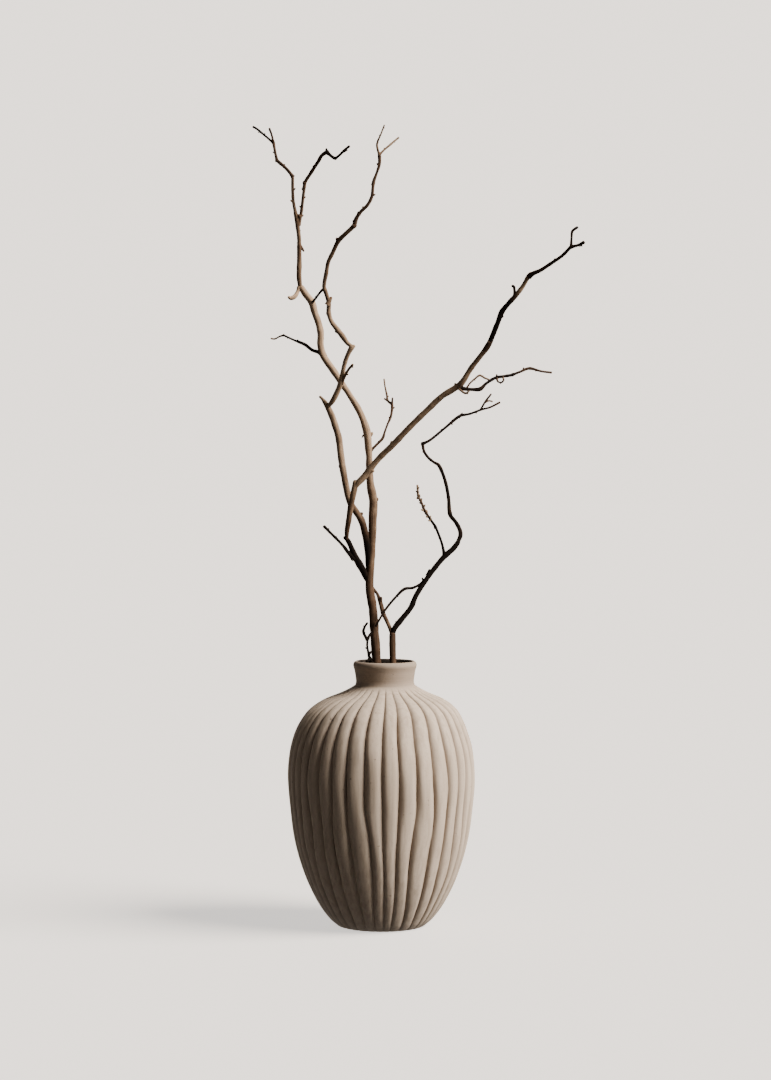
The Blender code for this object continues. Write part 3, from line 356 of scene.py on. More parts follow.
# Bark from 0, nearly black, to 1, bleached tan, at even steps from the root to the tip of each twig,
# and a little beyond either where it is blacker or paler still. Besides the bark's own tone it holds
# painted shade: twigs and stretches in shadow are set darker, such as the bough's dark stretch before its
# corner
BOUGH_TONE_AND_SHADE = (0.9, 0.9, 0.85, 0.8, 0.8, 0.8, 0.8, 0.75, 0.7, 0.7, 0.6, 0, -0.1, -0.05, 0.85, 0.85)
BARK_TONE_AND_SHADE = {
    "leader": (0, 0.15, 0.42, 0.85, 0.9), "leader_top": (0.66, 0.5), "leader_tip": (0.35, 0.3),
    "tip_a": (0.35, 0.4), "tip_a_left": (0.15, 0.1), "tip_a_up": (0.35, 0.3), "second_top": (0.6, 0.3),
    "second_hook": (0.12, 0.12), "second_end": (0.12, 0.15), "fork": (-0.3, 0.55, 0.75, 0.77),
    "fork_second": (1.1, 1.05), "fork_third": (0.75, 0.5, 0.4), "fork_tip_left": (0.5, 0.85),
    "fork_tip_right": (0.5, 0.7), "cross_shoot": (0.55, 0.6), "bough_low": (0.12, 0.1),
    "bough_mid": (0.35, 0.75), "bough": BOUGH_TONE_AND_SHADE, "bough_top": (0.12, 0.2),
    "bough_tip_right": (0.2, 0.15), "bough_tip_up": (0.15, 0.15), "bough_spur": (0.2, 0.15),
    "bough_side": (0.1, 0.08), "bough_side_end": (0.12, 0.45), "curl_up": (0.4, 0.6),
    "curl_low": (0.55, 0.7), "curl_ring": (0.45, 0.5), "left_spur": (0.1, 0.08),
    "left_shoot": (0.15, 0.12), "left_shoot_end": (0.5, 0.9), "bridge": (0.2, 0.2),
    "right_shoot": (0.3, 0.4), "right_shoot_a": (0.4, 0.75), "right_shoot_b": (0.35, 0.4),
    "right_shoot_c": (0.35, 0.4), "pale_curl": (0.8, 1), "side_stem": (0.38, 0.4),
    "side_right": (-0.1, -0.15, -0.1, 0.05, 0.05), "side_elbow": (0.12, 0.2), "side_top": (0.12, 0.12),
    "side_tip_right": (0.15, 0.4), "side_tip_up": (0.3, 0.5), "side_tip_arc": (0.5, 0.6),
    "bud_twig": (0.05, 0.05, 0.1, 0.5, 0.95), "side_loop": (0.1, 0.2), "side_left": (0.5, 0.4),
}
# Twigs that aren't listed, and how much darker a knot is than the bark beside it
PLAIN_TONE = (0.12, 0.12)
KNOT_DARKER = 0.1
# Swollen nodes along a twig: how far apart, how much wider, less so on a twig thicker than
# NODE_THIN, and over what share of its thickness, but never less than NODE_SHORTEST
NODE_GAP = (14, 30)
NODE_SWELL = 0.14
NODE_THIN = 3
NODE_LENGTH = 0.45
NODE_SHORTEST = 1
# Bark out of round, as shares of the radius: lumps, lobes and ridges, over what length each comes
# again, and how close together round the twig
LUMP_SWELL = 0.05
LUMP_LENGTH = 9
LOBE_SWELL = 0.05
LOBE_LENGTH = 15
LOBE_ROUND = 1.1
RIDGE_SWELL = 0.025
RIDGE_LENGTH = 7
RIDGE_ROUND = 2.6
BARK_SEED_STEP = 7.3
# Buds sit on the thin twigs: how far apart, how far from the tip, on twigs up to what thickness,
# their width and length as shares of it, and the spread of their sizes
BUD_GAP = (7, 17)
BUD_TIP_GAP = 3
BUD_THICKEST = 3.8
BUD_WIDTH = 0.56
BUD_LENGTH = 0.85
BUD_SIZE = (0.8, 1.2)
# A bud as rings of (place, width) from root to tip, how far it leans forward, how deep its root is,
# how far it strays from the side opposite the last one, and its faces round
BUD_SHAPE = ((0, 0.8), (0.3, 1.05), (0.55, 1), (0.8, 0.72), (1, 0.3))
BUD_LEAN = 0.9
BUD_ROOT = 0.25
BUD_STRAY = 0.7
BUD_SIDES = 8
BUD_SEED = 17
# The twig whose upper part carries pale swelling buds, with its own gaps and sizes
BUDDING_TWIG = "bud_twig"
BUDDING_FROM = 0.5
BUDDING_GAP = 3.6
BUDDING_GAP_SPREAD = (0.7, 1.3)
BUDDING_SIZE = 1.2
BUDDING_SIZE_SPREAD = (0.8, 1.15)

# Clay: the two tints of its clouds, then what darkens it, each with its share. The neck, groove and inside
# colours are painted shade
CLAY_DARK = (0.425, 0.335, 0.26, 1)
CLAY_LIGHT = (0.54, 0.44, 0.35, 1)
STROKE_COLOUR = (0.36, 0.28, 0.212, 1)
STROKE_SHARE = 0.6
SPECKLE_COLOUR = (0.28, 0.215, 0.16, 1)
SPECKLE_SHARE = 0.22
# Painted shade on the neck
NECK_SHADE_COLOUR = (0.22, 0.17, 0.13, 1)
NECK_SHADE_SHARE = 0.75
# Painted shade in the grooves
GROOVE_SHADE_COLOUR = (0.19, 0.145, 0.108, 1)
GROOVE_SHADE_SHARE = 0.6
PIT_COLOUR = (0.16, 0.12, 0.09, 1)
PIT_SHARE = 0.55
# Painted shade inside the vase
INSIDE_SHADE_COLOUR = (0.018, 0.013, 0.01, 1)
INSIDE_SHADE_SHARE = 0.95
CLAY_GLOSS = 0.2
# Bark: black, brown and tan, then its streaks and scars, each with its share
BARK_BLACK = (0.005, 0.0032, 0.0024, 1)
BARK_BROWN = (0.08, 0.046, 0.028, 1)
BARK_TAN = (0.4, 0.275, 0.178, 1)
STREAK_COLOUR = (0.008, 0.005, 0.004, 1)
STREAK_SHARE = 0.55
SCAR_COLOUR = (0.21, 0.15, 0.105, 1)
SCAR_SHARE = 0.2
BARK_GLOSS = 0.03
# How far the relief of the clay and of the bark stands out, in metres
RELIEF_HEIGHT = 0.0004


def smooth_step(low, high, value):
    """0 below low, 1 above high, smooth between."""
    share = np.clip((value - low) / (high - low), 0, 1)
    return share * share * (3 - 2 * share)


def select_none():
    for thing in bpy.context.selected_objects:
        thing.select_set(False)


def select_only(pieces):
    """Selects these pieces and nothing else, with the first one active."""
    select_none()
    for piece in pieces:
        piece.select_set(True)
    bpy.context.view_layer.objects.active = pieces[0]


def close_mesh(operator, **settings):
    """Runs one edit on all of the selected meshes, then turns their faces outwards."""
    bpy.ops.object.mode_set(mode="EDIT")
    bpy.ops.mesh.select_all(action="SELECT")
    operator(**settings)
    bpy.ops.mesh.select_all(action="SELECT")
    bpy.ops.mesh.normals_make_consistent(inside=False)
    bpy.ops.object.mode_set(mode="OBJECT")


def dress(piece, smooth_angle, material, node):
    """Smooths and paints a finished piece, hangs it under the root body and hides the solid it stands for.
    """
    select_only([piece])
    bpy.ops.object.shade_smooth_by_angle(angle=math.radians(smooth_angle))
    piece.data.materials.clear()
    piece.data.materials.append(material)
    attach(piece, "root")
    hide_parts(node)


def put_back(mesh, points):
    """Writes moved vertices, given in millimetres, back to a mesh."""
    mesh.vertices.foreach_set("co", (points * MM).astype(np.float32).ravel())
    mesh.update()


def vertices_of(mesh):
    """The mesh's vertices, in millimetres."""
    points = np.empty(len(mesh.vertices) * 3, dtype=np.float32)
    mesh.vertices.foreach_get("co", points)
    return points.reshape(-1, 3).astype(float) / MM


def store_values(mesh, name, values):
    """Keeps one number for each vertex, for the materials to read."""
    attribute = mesh.attributes.new(name, "FLOAT", "POINT")
    attribute.data.foreach_set("value", np.asarray(values, dtype=np.float32))


# Curves through points


def smooth_route(points, spacing):
    """Points along the smooth curve through the given ones, at most about spacing(row) apart."""
    rows = [np.array(point, dtype=float) for point in points]
    lengths = [max(np.linalg.norm(b[:3] - a[:3]), 1e-6) for a, b in zip(rows, rows[1:])]
    slopes = []
    for i, row in enumerate(rows):
        before = rows[max(i - 1, 0)]
        after = rows[min(i + 1, len(rows) - 1)]
        span = sum(lengths[max(i - 1, 0):min(i + 1, len(lengths))])
        slopes.append((after - before) / span)
    route = [rows[0]]
    for i, length in enumerate(lengths):
        steps = max(1, math.ceil(length / spacing(rows[i])))
        for step in range(1, steps + 1):
            t = step / steps
            route.append(
                rows[i] * (1 + 2 * t) * (1 - t) ** 2 + slopes[i] * length * t * (1 - t) ** 2
                + rows[i + 1] * t * t * (3 - 2 * t) + slopes[i + 1] * length * t * t * (t - 1))
    return route


# The vase


def groove_angles():
    """Angles of all grooves round the vase; those at the back are evenly spaced with a little jitter."""
    draw = random.Random(JITTER_SEED)
    gap = (360 - (FRONT_GROOVES[-1] - FRONT_GROOVES[0])) / (BACK_GROOVE_COUNT + 1)
    back = [FRONT_GROOVES[-1] + gap * (i + 1) + draw.uniform(-1, 1) * GROOVE_JITTER
            for i in range(BACK_GROOVE_COUNT)]
    return FRONT_GROOVES + back


def draws(seed, count):
    """A seeded list of numbers from 0 to 1."""
    draw = random.Random(seed)
    return np.array([draw.random() for _ in range(count)])


def outline_curve(outline, spacing):
    """Points (radius, 0, height) along the smooth curve through rows of (height, radius)."""
    return smooth_route([(radius, 0, height) for height, radius in outline], lambda row: spacing)


def vase_outline():
    """The whole outline from the middle of the foot up, over the lip and down to the inner floor."""
    foot = [np.array((radius, 0, 0), dtype=float) for radius in FOOT_RINGS]
    neck = outline_curve([CREST_OUTLINE[-1]] + NECK_OUTLINE, NECK_ROW)
    hollow = outline_curve([NECK_OUTLINE[-1]] + HOLLOW_OUTLINE, HOLLOW_ROW)
    floor = [np.array((radius, 0, FLOOR_THICKNESS), dtype=float) for radius in FLOOR_RINGS]
    return foot + outline_curve(CREST_OUTLINE, OUTER_ROW) + neck[1:] + hollow[1:] + floor


def turn_vase(outline, columns):
    """Draws the outline edge by edge and turns it into a closed pot."""
    bpy.ops.mesh.primitive_plane_add(size=MM, location=(0, 0, 0))
    vase = bpy.context.object
    vase.name = "carved_vase"
    bpy.ops.object.mode_set(mode="EDIT")
    bpy.ops.mesh.select_all(action="SELECT")
    bpy.ops.mesh.merge(type="CENTER")
    for here, there in zip(outline, outline[1:]):
        bpy.ops.mesh.extrude_region_move(TRANSFORM_OT_translate={"value": Vector(there - here) * MM})
    bpy.ops.object.mode_set(mode="OBJECT")
    wheel = vase.modifiers.new("Turned on the wheel", "SCREW")
    wheel.angle = 2 * math.pi
    wheel.steps = columns
    wheel.render_steps = columns
    wheel.use_merge_vertices = True
    wheel.merge_threshold = MERGE_DISTANCE * MM
    bpy.ops.object.modifier_apply(modifier=wheel.name)
    close_mesh(bpy.ops.mesh.remove_doubles, threshold=MERGE_DISTANCE * MM)
    return vase


def rib_depth(height, radius, count):
    """How deep the grooves are below the rib crests."""
    width = 2 * math.pi * radius / count
    top_fade = smooth_step(0, RIB_FADE_LENGTH, RIB_FADE_HEIGHT - height)
    foot_fade = RIB_FOOT_SHARE + (1 - RIB_FOOT_SHARE) * smooth_step(0, RIB_FOOT_LENGTH, height)
    return RIB_DEPTH_SHARE * width * top_fade * foot_fade


def groove_line(index, height, phase):
    """How far a groove is to the side of its own angle at each height, in degrees."""
    if index not in GROOVE_WANDER:
        fade = 1 - smooth_step(*WAVE_FADE, height)
        return GROOVE_WAVE * fade * np.sin(2 * np.pi * (height / GROOVE_WAVE_LENGTH + phase))
    heights, degrees = zip(*GROOVE_WANDER[index])
    reach = np.linspace(-WANDER_REACH, WANDER_REACH, WANDER_SAMPLES)
    weights = np.exp(-reach ** 2)
    lines = [np.interp(height + step * WANDER_SOFTNESS, heights, degrees) * weight
             for step, weight in zip(reach, weights)]
    return sum(lines) / weights.sum()


def carve_ribs(vase, columns):
    """Turns the even columns to the ribs, then cuts the grooves and rounds the ribs between them."""
    mesh = vase.data
    points = vertices_of(mesh)
    radius = np.hypot(points[:, 0], points[:, 1])
    height = points[:, 2]
    turn = np.degrees(np.arctan2(points[:, 0], -points[:, 1])) % 360
    crest_rows = np.array(outline_curve(CREST_OUTLINE, OUTER_ROW))
    crest_radius = np.interp(height, crest_rows[:, 2], crest_rows[:, 0])
    outside = (radius > crest_radius - OUTSIDE_MARGIN) & (height < CREST_OUTLINE[-1][0])

    grooves = np.array(groove_angles())
    count = len(grooves)
    stations = np.array(RIB_STATIONS)
    column = np.rint(turn / 360 * columns).astype(int) % columns
    rib = column // len(stations)
    share = stations[column % len(stations)]

    phases = draws(WAVE_SEED, count)
    lines = np.array([groove_line(index, height, phases[index]) for index in range(count)])
    every = np.arange(len(height))
    after = (rib + 1) % count
    start = grooves[rib] + lines[rib, every] * outside
    end = grooves[after] + lines[after, every] * outside + np.where(after == 0, 360, 0)
    angle = np.radians(start + (end - start) * share)

    crest_phase = draws(CREST_SEED, count)[rib]
    crest = CREST_PLACE + CREST_WANDER * np.sin(2 * np.pi * (height / CREST_WANDER_LENGTH + crest_phase))
    side = np.where(share < crest, crest, 1 - crest)
    fullness = 1 - np.abs((share - crest) / side) ** RIB_ROUNDING
    depth_phase = draws(DEPTH_SEED, count)[rib]
    change = 1 + DEPTH_CHANGE * np.sin(2 * np.pi * (height / DEPTH_CHANGE_LENGTH + depth_phase))
    change += SHOULDER_DEPTH * smooth_step(SHOULDER_FROM, SHOULDER_FROM + SHOULDER_RISE, height)
    width = np.minimum((end - start) / (360 / count), WIDEST_RIB)
    depth = np.where(outside, rib_depth(height, crest_radius, count) * change * width, 0)
    bumps = np.array([noise.noise(Vector(point) / HAND_DENT_SIZE) for point in points])
    dents = HAND_DENT * np.clip(bumps + HAND_DENT_MORE, 0, 1)
    radius = radius - depth * (1 - fullness) - np.where(outside, dents, 0)

    centre = NECK_OFFSET * smooth_step(NECK_OFFSET_FROM, NECK_HEIGHT, height)
    points[:, 0] = centre + radius * np.sin(angle)
    points[:, 1] = -radius * np.cos(angle)
    put_back(mesh, points)
    # How deep the groove is here, for the painted shade in the grooves
    store_values(mesh, "groove", np.where(outside, (1 - fullness) * np.clip(depth, 0, 1), 0))
    # The inside of the mouth and of the belly, which gets painted shade
    in_mouth = (radius < INSIDE_RADIUS) & (height > INSIDE_FROM)
    in_belly = ~outside & (height > FLOOR_THICKNESS - FLOOR_MARGIN) & (height < CREST_OUTLINE[-2][0])
    store_values(mesh, "inside", in_mouth | in_belly)


def build_vase():
    columns = len(RIB_STATIONS) * (len(FRONT_GROOVES) + BACK_GROOVE_COUNT)
    vase = turn_vase(vase_outline(), columns)
    carve_ribs(vase, columns)
    dress(vase, VASE_SMOOTH_ANGLE, clay_material(), "vase")


# The branches


def along_sight(across, up, depth, thickness):
    """Moves a point of the drawn sheet along the line of sight to its depth."""
    stretch = 1 + depth / -EYE.y
    place = EYE + (Vector((across + SHADE_SHIFT, 0, up)) - EYE) * stretch
    return (*place, (thickness + SHADE_THICKNESS) * stretch)


def hidden_route(cut_end, points):
    """The stretch inside the vase; the slanted cut end stands just above the vase's floor."""
    x, y, thickness = cut_end
    lean = math.dist(points[0][:2], (x, y)) / points[0][2]
    return [(x, y, FLOOR_THICKNESS + GAP + thickness / 2 * lean * SLANT_SLACK, thickness)] + points


def ring_spacing(row):
    least, most = RING_GAP_LIMITS
    return min(max(row[3] * RING_GAP, least), most)


def rounded_tip(route):
    """Puts the few rings that close a twig's broken end in place of the last ones."""
    last, before = route[-1], route[-2]
    heading = (last[:3] - before[:3]) / np.linalg.norm(last[:3] - before[:3])
    rounding = last[3] * TIP_ROUNDING
    kept = [row for row in route if np.linalg.norm(row[:3] - last[:3]) > rounding + TIP_GAP]
    return kept + [np.append(last[:3] - heading * rounding * back, last[3] * width)
                   for back, width in TIP_SHAPE]


def rooted(route):
    """Widens a thin shoot's root into a collar; a thick fork starts slim, inside the stem."""
    root = route[0].copy()
    thick = root[3] > THICK_ROOT
    change = -FORK_TAPER if thick else COLLAR_SHARE
    length = root[3] * (FORK_TAPER_LENGTH if thick else COLLAR_LENGTH)
    for row in route:
        row[3] *= 1 + change * math.exp(-(np.linalg.norm(row[:3] - root[:3]) / length) ** 2)
    return route


def reach_along(rings):
    """Length from the root to each ring."""
    return np.concatenate([[0], np.cumsum(np.linalg.norm(np.diff(rings[:, :3], axis=0), axis=1))])


def swell_nodes(route, draw):
    """Thickens the twig a little at its nodes, one after another at uneven gaps."""
    along = reach_along(np.array(route))
    node = draw.uniform(*NODE_GAP)
    while node < along[-1]:
        for row, reach in zip(route, along):
            length = max(row[3] * NODE_LENGTH, NODE_SHORTEST)
            swell = NODE_SWELL * min(1, NODE_THIN / row[3])
            row[3] *= 1 + swell * math.exp(-((reach - node) / length) ** 2)
        node += draw.uniform(*NODE_GAP)
    return route


def bud_route(row, heading, around, size):
    """A small pointed bud that leans forward off the twig's side."""
    side_way = heading.orthogonal().normalized()
    out = side_way * math.cos(around) + heading.cross(side_way) * math.sin(around)
    lean = (out + heading * BUD_LEAN).normalized()
    root = Vector(row[:3]) + out * row[3] * BUD_ROOT
    length = row[3] * BUD_LENGTH * size
    width = row[3] * BUD_WIDTH * size
    return [np.array([*(root + lean * length * place), width * share]) for place, share in BUD_SHAPE]


def bud_routes(twig, route, draw):
    """Routes of the buds along a thin twig, or close together on the twig that is budding."""
    rings = np.array(route)
    along = reach_along(rings)
    budding = twig == BUDDING_TWIG
    reach = along[-1] * BUDDING_FROM if budding else draw.uniform(*BUD_GAP)
    buds = []
    turn = draw.uniform(0, 2 * math.pi)
    while reach < along[-1] - BUD_TIP_GAP:
        ring = int(np.searchsorted(along, reach))
        row = rings[ring]
        if row[3] < BUD_THICKEST:
            heading = Vector(rings[min(ring + 1, len(rings) - 1)][:3] - rings[ring - 1][:3]).normalized()
            size = BUDDING_SIZE * draw.uniform(*BUDDING_SIZE_SPREAD) if budding else draw.uniform(*BUD_SIZE)
            buds.append(bud_route(row, heading, turn, size))
        turn += math.pi + draw.uniform(-BUD_STRAY, BUD_STRAY)
        reach += BUDDING_GAP * draw.uniform(*BUDDING_GAP_SPREAD) if budding else draw.uniform(*BUD_GAP)
    return buds


def bark_swell(around, along, seed):
    """How much wider than the plain twig the bark stands here, as a share of its radius."""
    x, y = math.cos(around), math.sin(around)
    lumps = noise.noise(Vector((along / LUMP_LENGTH, seed, 0)))
    lobes = noise.noise(Vector((x * LOBE_ROUND, y * LOBE_ROUND, along / LOBE_LENGTH + seed)))
    ridges = noise.noise(Vector((x * RIDGE_ROUND, y * RIDGE_ROUND, along / RIDGE_LENGTH + seed)))
    return 1 + LUMP_SWELL * lumps + LOBE_SWELL * lobes + RIDGE_SWELL * ridges


def ring_sides(thickness):
    return next(sides for passed, sides in RING_SIDES if thickness > passed)


def draw_twig(name, route, sides):
    """A round tube along a route of (x, y, z, thickness), drawn as a bevelled path."""
    bpy.ops.curve.primitive_nurbs_path_add(location=(0, 0, 0))
    path = bpy.context.object
    path.name = name
    curve = path.data
    curve.splines.clear()
    spline = curve.splines.new("POLY")
    spline.points.add(len(route) - 1)
    for point, row in zip(spline.points, route):
        point.co = (*(row[:3] * MM), 1)
        point.radius = row[3]
    curve.bevel_depth = MM / 2
    curve.bevel_resolution = sides // 2 - 2
    return path


def add_bark(twig, route, tone_and_shade, seed):
    """Pushes the bark in and out ring by ring, and lays the grain and the tone, with its painted shade,
    along the twig.
    """
    mesh = twig.data
    rings = np.array(route)
    sides = len(mesh.vertices) // len(rings)
    points = vertices_of(mesh).reshape(len(rings), sides, 3)
    along = reach_along(rings)
    for ring in range(len(rings)):
        centre = rings[ring, :3]
        for k in range(sides):
            swell = bark_swell(2 * math.pi * k / sides, along[ring], seed)
            points[ring, k] = centre + (points[ring, k] - centre) * swell
    put_back(mesh, points.reshape(-1, 3))
    steps = np.linspace(0, along[-1], len(tone_and_shade))
    store_values(mesh, "tone_and_shade", np.repeat(np.interp(along, steps, tone_and_shade), sides))
    lay_grain(mesh, along, rings[:, 3], sides)


def lay_grain(mesh, along, thickness, sides):
    """A UV map in metres: along the twig, and round it."""
    grain = mesh.uv_layers.new(name="grain")
    corners = np.empty(len(mesh.loops), dtype=np.int32)
    mesh.loops.foreach_get("vertex_index", corners)
    ring, column = corners // sides, corners % sides
    for face in mesh.polygons:
        loops = np.array(face.loop_indices)
        if len(loops) == 4 and set(column[loops]) == {0, sides - 1}:
            column[loops[column[loops] == 0]] = sides
    laid = np.stack([along[ring], column / sides * math.pi * thickness[ring]], axis=1) * MM
    grain.data.foreach_set("uv", laid.astype(np.float32).ravel())


def knot_route(knot):
    """A short cone that rises out of the twig's side."""
    start, end, depth, thickness = knot
    route = []
    for place, width in KNOT_SHAPE:
        across, up = Vector(start).lerp(Vector(end), place)
        route.append(along_sight(across, up, depth, thickness * width))
    return route


def tone_beside(twig_tones, place):
    """The tone, the bark's own with its painted shade, on the nearest twig, where it is nearest."""
    found = []
    for route, tone_and_shade in twig_tones:
        away = np.linalg.norm(np.array(route)[:, :3] - place, axis=1)
        share = np.argmin(away) / (len(route) - 1)
        found.append((away.min(), np.interp(share, np.linspace(0, 1, len(tone_and_shade)), tone_and_shade)))
    return min(found)[1]


def grow_branch(twigs, stem, hidden, knots):
    """Its stem first, then every twig on it with its buds, then its knots; each as a name, a route,
    its faces round and its tones."""
    draw = random.Random(BUD_SEED)
    grown = []
    for twig, points in sorted(twigs.items(), key=lambda item: item[0] != stem):
        route = [along_sight(*point) for point in points]
        if twig == stem:
            route = hidden + route
        route = swell_nodes(rounded_tip(smooth_route(route, ring_spacing)), draw)
        if twig != stem:
            route = rooted(route)
        tone_and_shade = BARK_TONE_AND_SHADE.get(twig, PLAIN_TONE)
        grown.append((twig, route, ring_sides(points[0][3]), tone_and_shade))
        for bud, shape in enumerate(bud_routes(twig, route, draw)):
            bud_tone = tone_and_shade[-1] if twig == BUDDING_TWIG else sum(tone_and_shade) / len(tone_and_shade)
            grown.append((twig + "_bud" + str(bud), shape, BUD_SIDES, (bud_tone, bud_tone)))
    twig_tones = [(route, tone_and_shade) for twig, route, sides, tone_and_shade in grown]
    for index, knot in enumerate(knots):
        route = rooted(rounded_tip(smooth_route(knot_route(knot), ring_spacing)))
        tone_and_shade = tone_beside(twig_tones, route[0][:3]) - KNOT_DARKER
        grown.append(("knot" + str(index), route, ring_sides(knot[3]), (tone_and_shade, tone_and_shade)))
    return grown


def build_branch(name, grown, node):
    """Draws every twig, lays its bark, closes its ends and joins them all into one branch."""
    pieces = [draw_twig(name + "_" + twig, route, sides) for twig, route, sides, tone_and_shade in grown]
    select_only(pieces)
    bpy.ops.object.convert(target="MESH")
    for index, (piece, (twig, route, sides, tone_and_shade)) in enumerate(zip(pieces, grown)):
        add_bark(piece, route, tone_and_shade, index * BARK_SEED_STEP)
    select_only(pieces)
    close_mesh(bpy.ops.mesh.fill_holes, sides=0)
    bpy.ops.object.join()
    branch = pieces[0]
    branch.name = name
    dress(branch, TWIG_SMOOTH_ANGLE, bark_material(name), node)


# Materials


class Wire:
    """A node's output that Python arithmetic works on, adding Math nodes."""

    def __init__(self, paint, socket):
        self.paint = paint
        self.socket = socket

    def math(self, operation, *values):
        return self.paint.node("ShaderNodeMath", {"operation": operation}, dict(enumerate(values)))

    def __add__(self, other):
        return self.math("ADD", self, other)

    def __radd__(self, other):
        return self.math("ADD", other, self)

    def __sub__(self, other):
        return self.math("SUBTRACT", self, other)

    def __rsub__(self, other):
        return self.math("SUBTRACT", other, self)

    def __mul__(self, other):
        return self.math("MULTIPLY", self, other)

    def __rmul__(self, other):
        return self.math("MULTIPLY", other, self)


class Paint:
    """A material's node tree, built node by node."""

    def __init__(self, name):
        self.material = bpy.data.materials.new(name)
        self.material.use_nodes = True
        self.tree = self.material.node_tree
        self.shader = self.tree.nodes["Principled BSDF"]

    def node(self, kind, settings=None, inputs=None, output=0):
        """Adds a node, sets it up, feeds its sockets and gives its output."""
        made = self.tree.nodes.new(kind)
        for key, value in (settings or {}).items():
            setattr(made, key, value)
        self.feed(made, inputs or {})
        return Wire(self, made.outputs[output])

    def feed(self, node, inputs):
        """Sets each of these sockets of a node, or links it to what it is given."""
        for key, value in inputs.items():
            if isinstance(value, Wire):
                self.tree.links.new(value.socket, node.inputs[key])
            else:
                node.inputs[key].default_value = value

    def place(self):
        return self.node("ShaderNodeTexCoord", output="Object")

    def noise(self, vector, scale, detail, roughness):
        """Cloudy noise; three scales stretch it along an axis."""
        if isinstance(scale, tuple):
            vector = self.node("ShaderNodeMapping", inputs={"Vector": vector, "Scale": scale})
            scale = 1
        return self.node("ShaderNodeTexNoise", inputs={
            "Vector": vector, "Scale": scale, "Detail": detail, "Roughness": roughness})

    def step(self, value, low, high):
        """0 below low, 1 above high, smooth between."""
        return self.node("ShaderNodeMapRange", {"interpolation_type": "SMOOTHSTEP"}, {
            "Value": value, "From Min": low, "From Max": high})

    def mix(self, share, first, second):
        """A colour between two colours; a Mix node's colour sockets are known by their numbers."""
        return self.node("ShaderNodeMix", {"data_type": "RGBA"}, {0: share, 6: first, 7: second}, 2)

    def value_of(self, name):
        return self.node("ShaderNodeAttribute", {"attribute_name": name}, output="Fac")

    def finish(self, colour, roughness, gloss, relief, strength):
        """Feeds the shader; the relief is a bump in the surface."""
        bump = self.node("ShaderNodeBump", inputs={
            "Strength": strength, "Distance": RELIEF_HEIGHT, "Height": relief})
        self.feed(self.shader, {
            "Base Color": colour, "Roughness": roughness, "Specular IOR Level": gloss, "Normal": bump})
        return self.material


def clay_material():
    """Matte fired clay: clouds, knife strokes down the ribs, turning lines on the neck, a few pits, and
    painted shade on the neck, in the grooves and inside.
    """
    paint = Paint("carved_clay")
    place = paint.place()
    height = paint.node("ShaderNodeSeparateXYZ", inputs={"Vector": place}, output="Z")
    on_neck = paint.step(height, low=0.249, high=0.256)
    cloud = paint.noise(place, scale=16, detail=4, roughness=0.6)
    speckle = paint.noise(place, scale=520, detail=3, roughness=0.6)
    strokes = paint.noise(place, scale=(230, 230, 16), detail=3, roughness=0.55)
    turning = paint.noise(place, scale=(9, 9, 520), detail=3, roughness=0.6)
    marks = strokes * (1 - on_neck) + turning * on_neck
    pits = paint.step(paint.noise(place, scale=240, detail=2, roughness=0.4), low=0.735, high=0.77)
    groove = paint.value_of("groove")
    inside = paint.value_of("inside")
    clay = paint.mix(cloud, CLAY_DARK, CLAY_LIGHT)
    worked = paint.mix(paint.step(marks, low=0.38, high=0.68) * STROKE_SHARE, clay, STROKE_COLOUR)
    grainy = paint.mix(paint.step(speckle, low=0.4, high=0.8) * SPECKLE_SHARE, worked, SPECKLE_COLOUR)
    # Painted shade on the neck
    neck_shaded = paint.mix(on_neck * NECK_SHADE_SHARE, grainy, NECK_SHADE_COLOUR)
    # Painted shade in the grooves, darker where they are deeper
    groove_shaded = paint.mix(groove * GROOVE_SHADE_SHARE, neck_shaded, GROOVE_SHADE_COLOUR)
    pitted = paint.mix(pits * PIT_SHARE, groove_shaded, PIT_COLOUR)
    # Painted shade inside the vase
    inside_shaded = paint.mix(inside * INSIDE_SHADE_SHARE, pitted, INSIDE_SHADE_COLOUR)
    relief = marks * 0.9 + speckle * 0.35 - pits + cloud * 0.5
    return paint.finish(inside_shaded, 0.82 + cloud * 0.12, CLAY_GLOSS, relief, strength=0.75)


def bark_material(name):
    """Dry bark: tan where it is bleached, nearly black on the young shoots and where shade is painted,
    streaked along the twig.
    """
    paint = Paint(name + "_bark")
    place = paint.place()
    run = paint.node("ShaderNodeUVMap", {"uv_map": "grain"})
    streaks = paint.noise(run, scale=(40, 900, 1), detail=2, roughness=0.5)
    patches = paint.noise(place, scale=60, detail=3, roughness=0.6)
    blotches = paint.noise(place, scale=210, detail=2, roughness=0.5)
    scars = paint.step(paint.noise(run, scale=(1000, 170, 1), detail=2, roughness=0.5), low=0.69, high=0.75)
    # The tone holds the bark's own colour and painted shade for twigs in shadow
    tone_and_shade = paint.value_of("tone_and_shade") + (patches - 0.5) * 0.5 + (blotches - 0.5) * 0.15
    dark = paint.mix(paint.step(tone_and_shade, low=0.08, high=0.5), BARK_BLACK, BARK_BROWN)
    wood = paint.mix(paint.step(tone_and_shade, low=0.4, high=1), dark, BARK_TAN)
    streaked = paint.mix(paint.step(streaks, low=0.45, high=0.72) * STREAK_SHARE, wood, STREAK_COLOUR)
    scarred = paint.mix(scars * paint.step(tone_and_shade, low=0.1, high=0.6) * SCAR_SHARE, streaked, SCAR_COLOUR)
    relief = streaks * 0.8 + patches * 0.3 + scars * 0.15
    return paint.finish(scarred, 0.72 + patches * 0.2, BARK_GLOSS, relief, strength=0.6)


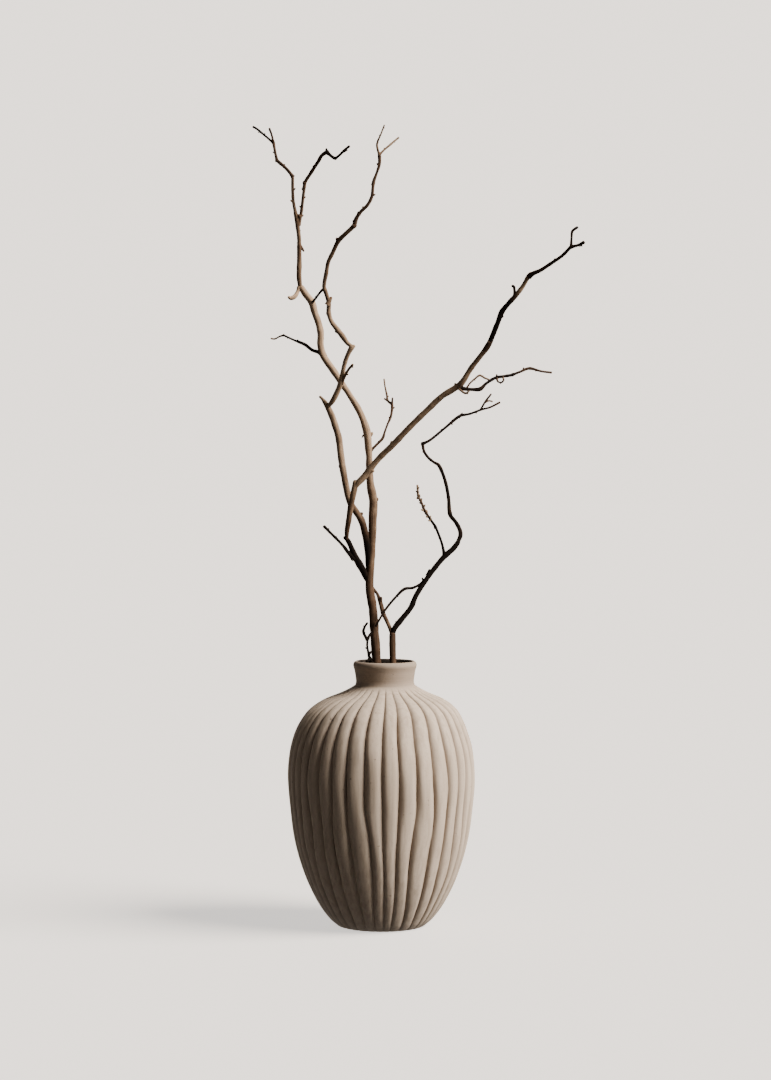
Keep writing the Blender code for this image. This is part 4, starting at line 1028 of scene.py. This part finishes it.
def floor_glow():
    """What the lit floor lacks of the surround's colour, so that no horizon shows."""
    key_light = KEY_ENERGY * math.sin(math.radians(KEY_HEIGHT))
    back_light = BACK_ENERGY * math.sin(math.radians(BACK_HEIGHT))
    sun_light = key_light + back_light
    return [around * (SURROUND_STRENGTH - FILL_STRENGTH * shade) - shade * sun_light / math.pi * tint
            for around, shade, tint in zip(SURROUND_COLOUR, FLOOR_SHADE, LIGHT_COLOUR)]


def floor_material():
    """A pale matte floor, bright enough by itself to keep the shadow on it light."""
    paint = Paint("pale_floor")
    paint.feed(paint.shader, {
        "Base Color": (*FLOOR_SHADE, 1), "Emission Color": (*floor_glow(), 1), "Emission Strength": 1,
        "Specular IOR Level": 0, "Roughness": FLOOR_ROUGHNESS})
    return paint.material


# Floor, light and camera


def build_floor():
    bpy.ops.mesh.primitive_plane_add(size=FLOOR_SIZE, location=(0, 0, -FLOOR_DROP))
    floor = bpy.context.object
    floor.name = "floor"
    floor.visible_diffuse = False
    floor.data.materials.append(floor_material())


def sky():
    """Pale surround for the camera and a weak warm fill for the light."""
    world = bpy.data.worlds.new("surround")
    bpy.context.scene.world = world
    world.use_nodes = True
    tree = world.node_tree
    background = tree.nodes["Background"]
    background.inputs["Color"].default_value = SURROUND_COLOUR
    paths = tree.nodes.new("ShaderNodeLightPath")
    strength = tree.nodes.new("ShaderNodeMapRange")
    strength.inputs["To Min"].default_value = FILL_STRENGTH
    strength.inputs["To Max"].default_value = SURROUND_STRENGTH
    tree.links.new(paths.outputs["Is Camera Ray"], strength.inputs["Value"])
    tree.links.new(strength.outputs[0], background.inputs["Strength"])


def sun(name, turn, height, energy):
    """A sun that stands turn degrees to the right of the camera's side, height degrees up."""
    bpy.ops.object.light_add(type="SUN")
    lamp = bpy.context.object
    lamp.name = name
    lamp.data.energy = energy
    lamp.data.angle = math.radians(LIGHT_SOFTNESS)
    lamp.data.color = LIGHT_COLOUR
    turn, height = math.radians(turn), math.radians(height)
    aim = Vector((math.sin(turn) * math.cos(height), -math.cos(turn) * math.cos(height), math.sin(height)))
    lamp.rotation_euler = aim.to_track_quat("Z", "Y").to_euler()


def build_camera():
    bpy.ops.object.camera_add(location=EYE * MM, rotation=(math.radians(90), 0, 0))
    camera = bpy.context.object
    camera.data.lens = LENS
    camera.data.sensor_width = SENSOR_WIDTH
    camera.data.shift_y = FRAME_SHIFT
    bpy.context.scene.camera = camera


select_none()
build_camera()
build_floor()
sky()
sun("key", KEY_TURN, KEY_HEIGHT, KEY_ENERGY)
sun("back_light", BACK_TURN, BACK_HEIGHT, BACK_ENERGY)
build_vase()
main_hidden = hidden_route(MAIN_CUT_END, MAIN_HIDDEN_STEM)
side_hidden = hidden_route(SIDE_CUT_END, SIDE_HIDDEN_STEM)
build_branch("main_twigs", grow_branch(MAIN_TWIGS, "leader", main_hidden, MAIN_KNOTS), "main_branch")
build_branch("side_twigs", grow_branch(SIDE_TWIGS, "side_stem", side_hidden, SIDE_KNOTS), "side_branch")
